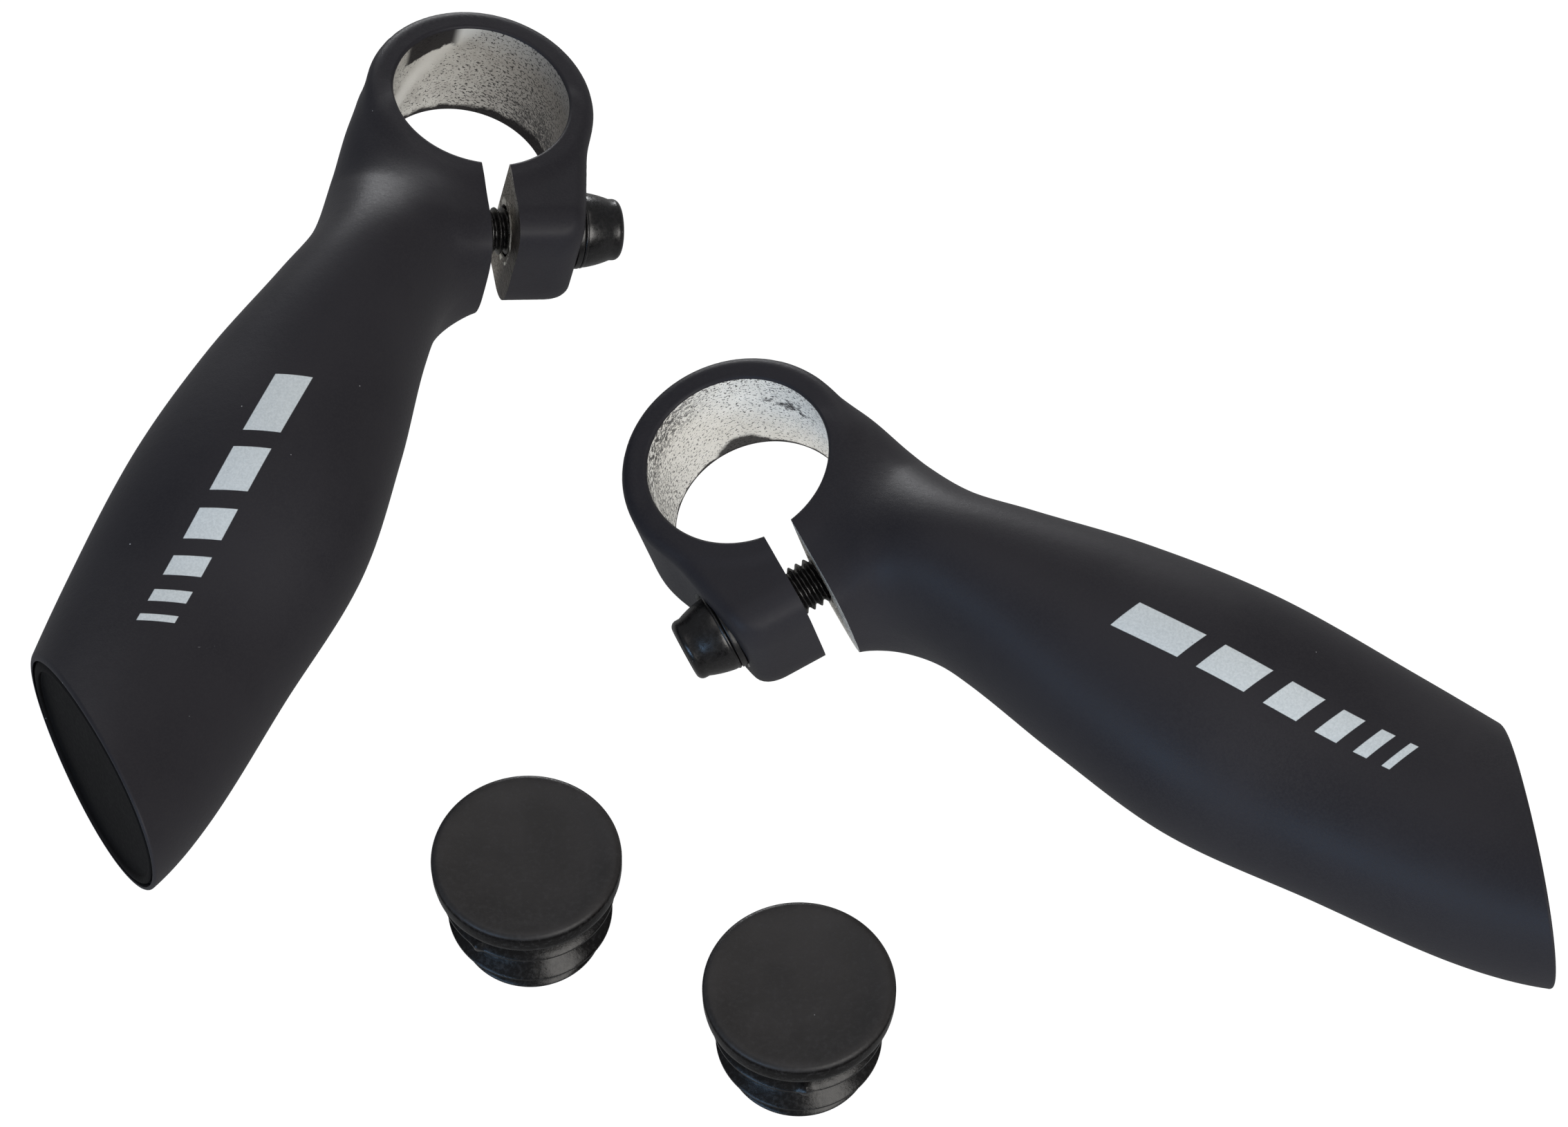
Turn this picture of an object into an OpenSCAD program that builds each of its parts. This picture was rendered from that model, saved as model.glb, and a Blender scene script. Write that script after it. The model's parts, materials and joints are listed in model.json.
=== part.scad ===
// A mirrored pair of clamp-on bar ends for a straight bicycle handlebar, with
// the two plugs that close the handlebar tube.
//
// Each bar end has its own frame: the origin is the centre of the clamp bore,
// +Z runs along the handlebar and +X runs out along the grip. The left bar end
// is the right one mirrored across its XZ plane. Both are then laid down on the
// table plane z = 0, resting on the lower rim of the clamp and on the belly of
// the grip. All lengths are in millimetres.

/* [Handlebar clamp] */
// Diameter of the handlebar that the clamp fits
bar_d = 22.2; // [21.8:0.1:22.6]
// Wall of the clamp ring
ring_wall = 3.3; // [3:0.1:3.6]
// Length of the clamp bore along the handlebar
ring_w = 16.2; // [15:0.2:17]
// Radius that rounds the outer edges of the clamp ring
ring_edge = 2.6; // [2:0.1:3]
// Direction of the clamp slit, measured from the grip's axis
slit_ang = -33; // [-36:1:-30]
// Width of the clamp slit before tightening
slit_w = 3.7; // [2.5:0.1:4.5]
// How far the ear reaches from the bore centre
ear_reach = 22.5; // [22:0.1:23.5]
// How far the lug on the neck reaches from the bore centre
lug_reach = 24.4; // [24:0.1:25.5]
// Thickness of the ear between the slit and the bolt seat
ear_t = 8.6; // [8:0.1:9.4]

/* [Clamp bolt] */
// Distance from the bore centre to the bolt's axis
bolt_reach = 15.1; // [15:0.1:16]
// Nominal thread diameter
bolt_d = 6; // [6:0.5:6.5]
// Thread pitch, which sets the chamfer and the run-out at the bolt's end
bolt_pitch = 1; // [0.8:0.1:1.2]
// Length of the bolt under its head
bolt_len = 25; // [22:1:26]
// Diameter of the head where it meets the washer
head_d = 9.2; // [9:0.1:10]
// Diameter of the head at its outer end
head_tip_d = 7.2; // [7:0.1:8]
// Height of the head
head_h = 5.2; // [4.8:0.1:6]
// Key size of the hexagon socket
hex_af = 5; // [4:0.5:5]
// Depth of the hexagon socket
hex_depth = 3.2; // [3:0.1:3.6]
// Outside diameter of the washer
washer_d = 10.2; // [9.6:0.1:10.6]
// Thickness of the washer
washer_t = 0.8; // [0.6:0.1:1]

/* [Grip] */
// Width of the grip at its narrow neck
neck_w = 21.2; // [20:0.2:22]
// Width of the grip at its widest place
swell_w = 31.1; // [29:0.2:32]
// Width of the grip near its end
tail_w = 26.8; // [25:0.2:28]
// Thickness of the grip at its neck
neck_t = 25.8; // [25:0.2:27]
// Thickness of the grip at its widest place
swell_t = 26.4; // [25:0.2:27]
// Thickness of the grip near its end
tail_t = 23.4; // [22:0.2:24]
// How far the grip bends down from the clamp's mid plane
droop = 10.7; // [10:0.1:11.4]
// Distance from the bore centre to the slanted end, along the grip's axis
end_reach = 104; // [100:0.5:106]
// Slant of the end across the grip
end_slant = 37.7; // [34:0.5:40]
// Tilt of the end through its thickness
end_tilt = -6.8; // [-9:0.2:-4]
// Wall of the hollow grip
grip_wall = 2.8; // [2.4:0.1:3.2]

/* [End cap] */
// Width of the metal rim left around the end cap
rim_w = 0.8; // [0.7:0.1:1.2]
// How deep the cap's face sits inside the rim
cap_sink = 0.3; // [0.2:0.1:0.6]
// Thickness of the cap's plate
cap_t = 2.8; // [2.4:0.1:3.2]
// Length of the cap's skirt behind the plate
skirt_len = 4.5; // [3:0.5:5]

/* [Handlebar plug] */
// Diameter of the plug's cap
plug_d = 21.6; // [21.4:0.1:22]
// Thickness of the plug's cap
plug_cap_t = 3.2; // [2.8:0.1:3.6]
// Overall height of the plug
plug_h = 16.9; // [16.6:0.1:17.4]
// Diameter of the plug's hollow stem
stem_d = 15.2; // [14.6:0.1:15.6]
// Bore of the hollow stem
stem_bore = 11.6; // [11:0.1:12]
// Diameter of the soft fin nearest the cap
fin_top_d = 20.0; // [19.8:0.1:20.4]
// Diameter of the middle fin
fin_mid_d = 19.0; // [18.8:0.1:19.4]
// Diameter of the fin at the foot of the stem
fin_low_d = 16.6; // [16.4:0.1:17]

/* [Layout on the table] */
// Position of the right clamp along X
right_x = -3.2; // [-6:0.1:0]
// Position of the right clamp along Y
right_y = 6.5; // [4:0.1:10]
// Position of the left clamp along X
left_x = -38.7; // [-42:0.1:-36]
// Position of the left clamp along Y
left_y = 60.1; // [58:0.1:64]
// Direction in which the right grip points, turned about Z
right_yaw = -31.8; // [-36:0.2:-28]
// Direction in which the left grip points, turned about Z
left_yaw = -111.8; // [-114:0.2:-108]
// Position of the left plug along X
left_plug_x = -28.6; // [-32:0.1:-26]
// Position of the left plug along Y
left_plug_y = -47.3; // [-50:0.1:-44]
// Position of the right plug along X
right_plug_x = 2.4; // [0:0.1:5]
// Position of the right plug along Y
right_plug_y = -63.9; // [-66:0.1:-60]

/* [Hidden] */

body_color = [0.13, 0.13, 0.15];
cap_color = [0.10, 0.10, 0.11];
bolt_color = [0.06, 0.05, 0.05];
washer_color = [0.08, 0.07, 0.07];
plug_color = [0.11, 0.11, 0.12];

// How the bar ends settle on the table
rest_roll = 10.5;
rest_pitch = -7.3;
rest_z = 10.9;
left_plug_yaw = -35;
right_plug_yaw = 4;

// Clamp
bore_r = bar_d / 2;
ring_r = bore_r + ring_wall;
half_w = ring_w / 2;
join_r = ring_r - 0.15;       // where the lugs run into the ring
cut_reach = 40;               // clears the clamp on either side of z = 0

// Bolt and its holes
seat = slit_w / 2 + ear_t;    // slit centre to the bolt seat
runout = 0.7 * bolt_pitch;    // threaded hole past the bolt's end
tap_end = seat + washer_t - bolt_len - runout;
hole_r = bolt_d / 2 + 0.2;    // clearance hole of the ear and the washer
tap_r = bolt_d / 2 + 0.03;
shank_r = bolt_d / 2 - 0.04;
seat_r = washer_d / 2 + 0.35;

// Slanted end
loft_end = 121;               // grip lofts run past the end, then are cut
past_end = 60;                // height that clears the lofts beyond the end
slab_w = 120;
plate_back = -cap_sink - cap_t;
cap_gap = 0.08;               // clearance around and behind the cap's plate

// Elliptical cross-sections of the grip, from the clamp outwards. Columns:
// station along X, centre's Y, half width, centre's Z, half thickness.
SECTIONS = [
    [  4,  0.0, 12.0,                           0.0,          6.5],
    [ 16,  0.6, 11.4,                          -0.4,          9.2],
    [ 26,  0.9, neck_w / 2 - 0.9,              -1.2,          neck_t / 2 - 0.5],
    [ 34,  1.0, neck_w / 2,                    -2.1,          neck_t / 2 + 0.2],
    [ 48,  0.6, (neck_w + swell_w) / 4 + 0.45, -3.5,          neck_t / 2],
    [ 64, -0.1, swell_w / 2,                   -5.9,          swell_t / 2],
    [ 82,  0.0, (swell_w + tail_w) / 4 + 0.25, -9.3,          tail_t / 2],
    [100, -0.7, tail_w / 2,                    -droop,        tail_t / 2 + 0.1],
    [112, -1.1, tail_w / 2 - 1.9,              -droop + 1.5,  tail_t / 2 - 1.0],
    [122, -0.9, tail_w / 2 - 5.0,              -droop + 4.6,  tail_t / 2 - 4.2]
];
LAST = len(SECTIONS) - 1;
STATION = 0;
CENTRE_Y = 1;
HALF_WIDTH = 2;
CENTRE_Z = 3;
HALF_THICK = 4;

// Slope of a column at row i, from the rows on both sides where they exist
function slope(i, column) =
    let (before = SECTIONS[max(i - 1, 0)], after = SECTIONS[min(i + 1, LAST)])
    (after[column] - before[column]) / (after[STATION] - before[STATION]);

// Row that starts the span in which station x lies
function row_at(x, i = 0) =
    (i >= LAST - 1 || x <= SECTIONS[i + 1][STATION]) ? i : row_at(x, i + 1);

// Smooth value of a column at station x (a cubic through the rows)
function along(x, column) =
    let (
        i = row_at(x),
        start = SECTIONS[i],
        end = SECTIONS[i + 1],
        span = end[STATION] - start[STATION],
        u = (x - start[STATION]) / span
    )
    (2 * u * u * u - 3 * u * u + 1) * start[column]
    + (u * u * u - 2 * u * u + u) * span * slope(i, column)
    + (-2 * u * u * u + 3 * u * u) * end[column]
    + (u * u * u - u * u) * span * slope(i + 1, column);

// Points of an arc between two angles
function arc(x, y, radius, from, to, steps = 7) = [
    for (k = [0:steps])
        let (angle = from + (to - from) * k / steps)
        [x + radius * cos(angle), y + radius * sin(angle)]
];

// ---- Grip ----

// Closed loft of the grip between two stations, shrunk by `inset`
module grip_loft(x0, x1, inset, stations, sides) {
    rings = [
        for (i = [0:stations])
            let (x = x0 + (x1 - x0) * i / stations)
            for (j = [0:sides - 1])
                let (angle = 360 * (j + 0.5) / sides)
                [
                    x,
                    along(x, CENTRE_Y) + (along(x, HALF_WIDTH) - inset) * cos(angle),
                    along(x, CENTRE_Z) + (along(x, HALF_THICK) - inset) * sin(angle)
                ]
    ];
    // Two triangles between each pair of neighbours and the next ring
    walls = [
        for (i = [0:stations - 1])
            for (j = [0:sides - 1])
                let (
                    here = i * sides + j,
                    beside = i * sides + (j + 1) % sides,
                    ahead = here + sides
                )
                each [[here, ahead, beside], [beside, ahead, beside + sides]]
    ];
    near = [[for (j = [0:sides - 1]) j]];
    far = [[for (j = [0:sides - 1]) stations * sides + sides - 1 - j]];
    polyhedron(points = rings, faces = concat(walls, near, far), convexity = 6);
}

// Slab between two heights above the slanted end (negative is inside the
// grip), square to the end and centred on its middle
module end_slab(z0, z1) {
    translate([end_reach, 0, 0])
        rotate([0, 0, end_slant])
            rotate([0, 90 - end_tilt, 0])
                translate([-slab_w / 2, -slab_w / 2, z0])
                    cube([slab_w, slab_w, z1 - z0]);
}

// Part of an inset grip that lies in a slab at the slanted end
module end_slice(x0, inset, stations, sides, z0, z1) {
    intersection() {
        grip_loft(x0, loft_end, inset, stations, sides);
        end_slab(z0, z1);
    }
}

// ---- Clamp ----

// Frame with +X along the slit from the bore centre, the ear on its -Y side
module slit_frame() {
    rotate([0, 0, slit_ang]) children();
}

// Frame on the bolt's axis: origin on the slit's centre plane, +Z out of the ear
module at_bolt() {
    slit_frame() translate([bolt_reach, 0, 0]) rotate([90, 0, 0]) children();
}

// The same frame moved out to the bolt seat, plus `lift`
module at_seat(lift = 0) {
    at_bolt() translate([0, 0, seat + lift]) children();
}

// Outline of the ear (side = -1) or of the lug that grows out of the neck
// (side = 1), seen along the handlebar: a rounded corner joined to the ring
module lug_outline(reach, side, thickness, corner_r) {
    x = reach - corner_r;
    y = side * (thickness - corner_r);
    join_angle = atan2(y, x) + side * acos((join_r - corner_r) / norm([x, y]));
    polygon(concat(
        [[0, 0], [reach, 0]],
        arc(x, y, corner_r, 0, join_angle),
        [[join_r * cos(join_angle), join_r * sin(join_angle)]]
    ));
}

// The same piece seen from its side: flat top and bottom, and a rounded end
module lug_profile(reach) {
    end_r = 6.2;
    top = half_w - 0.06;      // just inside the ring's faces
    x = reach + 0.01 - end_r; // just past the outline
    polygon(concat(
        [[0, top], [0, -top]],
        arc(x, -top + end_r, end_r, -90, 0),
        arc(x, top - end_r, end_r, 0, 90)
    ));
}

module lug_half(reach, side, thickness, corner_r) {
    profile_depth = 40;
    intersection() {
        translate([0, 0, -half_w])
            linear_extrude(height = ring_w) lug_outline(reach, side, thickness, corner_r);
        translate([0, profile_depth / 2, 0])
            rotate([90, 0, 0])
                linear_extrude(height = profile_depth) lug_profile(reach);
    }
}

// Ear and neck lug, on either side of the slit
module lugs() {
    slit_frame() {
        lug_half(ear_reach, side = -1, thickness = seat + 0.3, corner_r = 4.4);
        lug_half(lug_reach, side = 1, thickness = 9, corner_r = 4.2);
    }
}

module clamp_ring() {
    inner_r = bore_r - 2;     // the bore is cut later
    edge_x = ring_r - ring_edge;
    edge_z = half_w - ring_edge;
    rotate_extrude($fn = 96)
        polygon(concat(
            [[inner_r, -half_w]],
            arc(edge_x, -edge_z, ring_edge, -90, 0, 4),
            arc(edge_x, edge_z, ring_edge, 0, 90, 4),
            [[inner_r, half_w]]
        ));
}

// Hollow one-piece body: clamp ring, split lug, neck and grip
module bar_end() {
    difference() {
        union() {
            clamp_ring();
            lugs();
            grip_loft(4, loft_end, inset = 0, stations = 30, sides = 36);
        }
        // handlebar bore
        translate([0, 0, -cut_reach]) cylinder(h = 2 * cut_reach, r = bore_r, $fn = 96);
        // slit, starting inside the bore
        slit_frame()
            translate([bore_r - 3, -slit_w / 2, -cut_reach])
                cube([40, slit_w, 2 * cut_reach]);
        // clearance hole in the ear and the flat seat for the washer
        at_bolt() cylinder(h = 30, r = hole_r, $fn = 48);
        at_seat() cylinder(h = 20, r = seat_r, $fn = 64);
        // threaded hole in the neck
        at_bolt() translate([0, 0, tap_end]) cylinder(h = -tap_end, r = tap_r, $fn = 48);
        // slanted open end, hollow inside
        end_slab(0, past_end);
        grip_loft(38, loft_end, inset = grip_wall, stations = 12, sides = 24);
        // recess for the cap's plate
        end_slice(84, rim_w, stations = 10, sides = 30, z0 = plate_back, z1 = past_end);
    }
}

// Cap that closes the slanted end, with a skirt inside the hollow grip
module end_cap() {
    plate_z = plate_back + cap_gap;
    skirt_z = plate_back - skirt_len;
    skirt_inset = grip_wall + 0.35;
    hollow_inset = grip_wall + 1.9;
    end_slice(84, rim_w + cap_gap, stations = 10, sides = 30, z0 = plate_z, z1 = -cap_sink);
    difference() {
        // the skirt overlaps the plate, its hollow stops at the plate's back
        end_slice(80, skirt_inset, stations = 10, sides = 24, z0 = skirt_z, z1 = plate_z + 0.5);
        end_slice(76, hollow_inset, stations = 10, sides = 24, z0 = skirt_z - 3, z1 = plate_z);
    }
}

// ---- Bolt and washer ----

// Screw in its own frame: origin under the head, +Z out of the head
module clamp_bolt() {
    chamfer = 0.75 * bolt_pitch;
    head_r = head_d / 2;
    tip_round = 0.7;
    difference() {
        rotate_extrude($fn = 64)
            polygon(concat(
                [
                    [0, -bolt_len],
                    [bolt_d / 2 - chamfer, -bolt_len],
                    [shank_r, -bolt_len + chamfer],
                    [shank_r, 0],
                    [head_r - 0.25, 0],
                    [head_r, 0.25],
                    [head_r - 0.12, 0.95]
                ],
                arc(head_tip_d / 2 - tip_round, head_h - tip_round, tip_round, 5, 90, 4),
                [[0, head_h]]
            ));
        translate([0, 0, head_h - hex_depth])
            cylinder(h = hex_depth + 1, r = hex_af / sqrt(3), $fn = 6);
    }
}

module bolt_washer() {
    difference() {
        cylinder(h = washer_t, r = washer_d / 2, $fn = 64);
        translate([0, 0, -1]) cylinder(h = 3, r = hole_r, $fn = 48);
    }
}

// ---- Handlebar plug ----

// Umbrella fin of the plug's section, from top to bottom, its tip at height z
function fin(tip_r, z, root) = [
    [root, z + 1.5],
    [tip_r - 0.3, z + 0.55],
    [tip_r, z + 0.2],
    [tip_r - 0.25, z - 0.15],
    [root, z - 0.5]
];

// Plug standing on the foot of its stem, cap upwards
module handlebar_plug() {
    cap_r = plug_d / 2;
    cap_edge = 1.1;
    stem_r = stem_d / 2;
    stem_h = plug_h - plug_cap_t;
    fin_top_z = stem_h - 3.6;
    fin_mid_z = stem_h - 9.1;
    difference() {
        rotate_extrude($fn = 96)
            polygon(concat(
                // shallow dish in the cap's top
                [
                    [0, plug_h - 0.75],
                    [cap_r - 3.4, plug_h - 0.6],
                    [cap_r - 1.9, plug_h - 0.15]
                ],
                arc(cap_r - cap_edge, plug_h - cap_edge, cap_edge, 100, 0, 6),
                [[cap_r - 0.15, stem_h + 0.7], [cap_r - 0.7, stem_h], [stem_r, stem_h]],
                fin(fin_top_d / 2, fin_top_z, stem_r),
                fin(fin_mid_d / 2, fin_mid_z, stem_r),
                fin(fin_low_d / 2, 0.5, stem_r),
                [[0, 0]]
            ));
        translate([0, 0, -1]) cylinder(h = stem_h + 1, r = stem_bore / 2, $fn = 64);
    }
    // moulding nub on the upper fin
    translate([0, -fin_top_d / 2 + 0.45, fin_top_z + 0.25]) sphere(r = 0.75, $fn = 24);
}

// ---- Layout ----

module place_right() {
    translate([right_x, right_y, rest_z])
        rotate([rest_roll, rest_pitch, right_yaw]) children();
}

module place_left() {
    translate([left_x, left_y, rest_z])
        rotate([-rest_roll, rest_pitch, left_yaw])
            mirror([0, 1, 0]) children();
}

module right_bar_end() color(body_color) place_right() bar_end();
module left_bar_end() color(body_color) place_left() bar_end();
module right_end_cap() color(cap_color) place_right() end_cap();
module left_end_cap() color(cap_color) place_left() end_cap();
module right_clamp_bolt() color(bolt_color) place_right() at_seat(washer_t) clamp_bolt();
module left_clamp_bolt() color(bolt_color) place_left() at_seat(washer_t) clamp_bolt();
module right_bolt_washer() color(washer_color) place_right() at_seat() bolt_washer();
module left_bolt_washer() color(washer_color) place_left() at_seat() bolt_washer();
module left_handlebar_plug()
    color(plug_color)
        translate([left_plug_x, left_plug_y, 0]) rotate([0, 0, left_plug_yaw]) handlebar_plug();
module right_handlebar_plug()
    color(plug_color)
        translate([right_plug_x, right_plug_y, 0]) rotate([0, 0, right_plug_yaw]) handlebar_plug();

right_bar_end();
right_end_cap();
right_clamp_bolt();
right_bolt_washer();
left_bar_end();
left_end_cap();
left_clamp_bolt();
left_bolt_washer();
left_handlebar_plug();
right_handlebar_plug();
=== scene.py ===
"""Looks of a mirrored pair of clamp-on bar ends with their clamp bolts, washers,
end caps and two finned handlebar plugs. Lengths inside the builders are in
millimetres, in the frame of one bar end: the origin is the centre of the clamp
bore, +Z runs along the handlebar and +X runs out along the grip."""
import json
import math
from collections import namedtuple

import bmesh
import bpy
import numpy as np
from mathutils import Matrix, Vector


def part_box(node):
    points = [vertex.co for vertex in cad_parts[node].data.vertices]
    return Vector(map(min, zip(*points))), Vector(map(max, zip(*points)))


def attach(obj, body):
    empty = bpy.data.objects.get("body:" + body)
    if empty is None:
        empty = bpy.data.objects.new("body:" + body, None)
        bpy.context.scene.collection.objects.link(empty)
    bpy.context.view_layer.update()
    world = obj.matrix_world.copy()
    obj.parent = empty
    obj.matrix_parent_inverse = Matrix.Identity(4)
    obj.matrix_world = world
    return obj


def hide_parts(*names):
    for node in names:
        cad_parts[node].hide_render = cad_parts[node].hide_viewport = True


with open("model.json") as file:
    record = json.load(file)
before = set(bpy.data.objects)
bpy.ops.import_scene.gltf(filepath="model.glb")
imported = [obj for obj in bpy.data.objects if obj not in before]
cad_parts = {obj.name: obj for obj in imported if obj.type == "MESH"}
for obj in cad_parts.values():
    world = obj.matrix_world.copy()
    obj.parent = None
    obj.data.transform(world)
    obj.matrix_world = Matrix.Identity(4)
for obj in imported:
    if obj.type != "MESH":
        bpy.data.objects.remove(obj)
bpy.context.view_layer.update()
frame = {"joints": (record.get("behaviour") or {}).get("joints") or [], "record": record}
MM = 0.001                          # metres in a millimetre

# ------------------------------------------------------------------ dimensions
BORE_R = 11.1
RING_R = 14.4                       # outside of the clamp ring
HALF_W = 8.1                        # half the ring's width along Z
RING_EDGE = 1.5                     # rounding of the ring's edges
SLIT_ANGLE = math.radians(-33.0)    # the slit's direction, from +X about Z
SLIT_COS, SLIT_SIN = math.cos(SLIT_ANGLE), math.sin(SLIT_ANGLE)
SLIT_W = 3.7
SLIT_HALF = SLIT_W / 2
SEAT = SLIT_HALF + 8.6              # the washer's seat, from the slit's middle
BOLT_REACH = 15.1                   # bolt axis from the bore axis, along the slit
BOLT_LEN = 25.0
WASHER_T = 0.8
TAP_END = SEAT + WASHER_T - BOLT_LEN - 0.7
JOIN_X = 36.0                       # the netted neck ends and the lofted grip begins
WALL = 2.8                          # of the hollow grip
NET_STEP = 0.55

# The grip's end plane: x + END_KY * y + END_KZ * z = END_X
END_X, END_KY, END_KZ = 104.6, 0.773, -0.151
END_NORMAL_LENGTH = 1.273           # of the vector (1, END_KY, END_KZ)
END_AXIS = np.array([1.0, END_KY, END_KZ]) / END_NORMAL_LENGTH
LIP = 0.55                          # width of the metal lip around the end cap
EDGE_R = 0.42                       # rounding of the body's slanted edge
AROUND = 144                        # points around the grip and the end cap

# The lugs beside the slit, in the slit frame: side of the slit, reach from the
# bore axis, height over the slit's middle, corner radius, how far below the
# ring's surface the outline leaves it, rounding of the ends and of the edges.
EAR = dict(side=-1, reach=22.4, height=SEAT + 0.06, corner=3.6, slack=0.7, end_r=5.0, edge=1.8)
NECK_LUG = dict(side=1, reach=24.1, height=8.3, corner=4.2, slack=0.15, end_r=6.0, edge=2.0)
LUG_HALF_W = HALF_W - 0.04

# The grip's ellipses: station x, middle y, half size in y, middle z, half size in z
SECTIONS = np.array([
    [4.0, 0.0, 14.0, 0.0, 7.9],
    [10.0, 0.3, 12.95, -0.1, 8.6],
    [16.0, 0.5, 11.5, -0.4, 9.4],
    [26.0, 0.8, 9.6, -1.2, 12.3],
    [34.0, 1.0, 10.6, -2.1, 13.1],
    [48.0, 0.6, 13.525, -3.5, 12.9],
    [64.0, -0.1, 15.55, -5.9, 13.2],
    [82.0, 0.0, 14.725, -9.3, 11.7],
    [100.0, -0.7, 13.4, -10.7, 11.8],
    [112.0, -1.1, 11.5, -9.2, 10.7],
    [122.0, -0.9, 8.4, -6.1, 7.5],
])


def section_slopes():
    x, sizes = SECTIONS[:, 0], SECTIONS[:, 1:]
    slopes = np.empty_like(sizes)
    slopes[1:-1] = (sizes[2:] - sizes[:-2]) / (x[2:] - x[:-2])[:, None]
    slopes[0] = (sizes[1] - sizes[0]) / (x[1] - x[0])
    slopes[-1] = (sizes[-1] - sizes[-2]) / (x[-1] - x[-2])
    return slopes


SLOPES = section_slopes()


def sections(x):
    """Middle and half size in y, then in z, of the grip's ellipse at stations x."""
    x = np.clip(np.asarray(x, float), SECTIONS[0, 0], SECTIONS[-1, 0])
    i = np.clip(np.searchsorted(SECTIONS[:, 0], x, side="right") - 1, 0, len(SECTIONS) - 2)
    start = SECTIONS[i, 0]
    gap = SECTIONS[i + 1, 0] - start
    t = ((x - start) / gap)[..., None]
    gap = gap[..., None]
    value = ((2 * t**3 - 3 * t**2 + 1) * SECTIONS[i, 1:] + (t**3 - 2 * t**2 + t) * gap * SLOPES[i]
             + (-2 * t**3 + 3 * t**2) * SECTIONS[i + 1, 1:] + (t**3 - t**2) * gap * SLOPES[i + 1])
    return value[..., 0], value[..., 1], value[..., 2], value[..., 3]


# ---------------------------------------------------------------------- frames
# The slit frame is the local one turned about Z: x runs out along the slit and
# y towards the neck. The bolt frame has +Z out of the ear and lies on the
# slit's middle.
def to_slit(x, y):
    return x * SLIT_COS + y * SLIT_SIN, -x * SLIT_SIN + y * SLIT_COS


def slit_to_local(points):
    x, y, z = np.array(points, float).T
    return np.stack([x * SLIT_COS - y * SLIT_SIN, x * SLIT_SIN + y * SLIT_COS, z], 1)


def bolt_to_local(points):
    x, y, z = np.array(points, float).T
    return slit_to_local(np.stack([x + BOLT_REACH, -z, y], 1))


def local_to_bolt(points):
    x, y = to_slit(points[:, 0], points[:, 1])
    return np.stack([x - BOLT_REACH, points[:, 2], -y], 1)


# ------------------------------------------------------- the body's outer shape
def smooth_min(a, b, reach):
    h = np.maximum(reach - np.abs(a - b), 0.0) / reach
    return np.minimum(a, b) - h * h * h * reach / 6.0


def smoothstep(x, start, end):
    t = np.clip((x - start) / (end - start), 0.0, 1.0)
    return t * t * (3 - 2 * t)


def round_and(a, b, radius):
    """Intersection of two distances with a rounded edge."""
    a, b = a + radius, b + radius
    corner = np.hypot(np.maximum(a, 0), np.maximum(b, 0))
    return np.minimum(np.maximum(a, b), 0.0) + corner - radius


def polygon_distance(x, y, polygon):
    nearest = np.full(x.shape, 1e9)
    sign = np.ones(x.shape)
    for i in range(len(polygon)):
        ax, ay = polygon[i]
        bx, by = polygon[i - 1]
        ex, ey = bx - ax, by - ay
        wx, wy = x - ax, y - ay
        t = np.clip((wx * ex + wy * ey) / (ex * ex + ey * ey), 0, 1)
        nearest = np.minimum(nearest, (wx - ex * t) ** 2 + (wy - ey * t) ** 2)
        above, below, left = y >= ay, y < by, ex * wy > ey * wx
        sign = np.where((above & below & left) | (~above & ~below & ~left), -sign, sign)
    return sign * np.sqrt(nearest)


def lug_polygon(side, reach, height, corner, slack):
    """The lug's outline shrunk by its corner radius: centre of the ring, the
    place where it leaves the ring, the corner and the slit."""
    x, y = reach - corner, side * (height - corner)
    inner = RING_R - slack - corner
    leave = math.atan2(y, x) + side * math.acos(inner / math.hypot(x, y))
    return [(0.0, 0.0), (inner * math.cos(leave), inner * math.sin(leave)), (x, y), (x, 0.0)]


def lug_distance(x, y, z, side, reach, height, corner, slack, end_r, edge):
    outline = polygon_distance(x, y, lug_polygon(side, reach, height, corner, slack)) - corner
    end, flank = x - (reach - end_r), np.abs(z) - (LUG_HALF_W - end_r)
    sides = (np.hypot(np.maximum(end, 0), np.maximum(flank, 0))
             + np.minimum(np.maximum(end, flank), 0) - end_r)
    return round_and(outline, sides, edge)


def grip_distance(x, y, z):
    y_mid, y_half, z_mid, z_half = sections(x)
    # the neck starts squarer than an ellipse, and stays so for longer underneath
    rounded = np.where(z > z_mid, smoothstep(x, 6.0, 19.0), smoothstep(x, 12.0, 33.0))
    power = 2.0 + 2.4 * (1.0 - rounded)
    u, v = np.abs(y - y_mid) / y_half + 1e-6, np.abs(z - z_mid) / z_half + 1e-6
    level = (u ** power + v ** power) ** (1.0 / power)
    steepness = (np.hypot(u ** (power - 1) / y_half, v ** (power - 1) / z_half)
                 * level ** (1.0 - power))
    return round_and((level - 1.0) / steepness, SECTIONS[0, 0] - x, 1.5)


def body_distance(x, y, z):
    """Signed distance, roughly, to the outside of the whole casting."""
    ring = round_and(np.hypot(x, y) - RING_R, np.abs(z) - HALF_W, RING_EDGE)
    slit_x, slit_y = to_slit(x, y)
    ear = lug_distance(slit_x, slit_y, z, **EAR)
    lug = lug_distance(slit_x, slit_y, z, **NECK_LUG)
    blend = 2.0 + 4.0 * smoothstep(x, 12.0, 22.0)
    fade = 1 - smoothstep(x, 27.0, 34.5)
    neck_side = smooth_min(smooth_min(ring, lug, 2.0), grip_distance(x, y, z),
                           np.maximum(blend * fade, 0.02))
    # the two sides part inside the slit
    return np.where(slit_y > 0.0, neck_side, smooth_min(ring, ear, 1.3))


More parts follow.
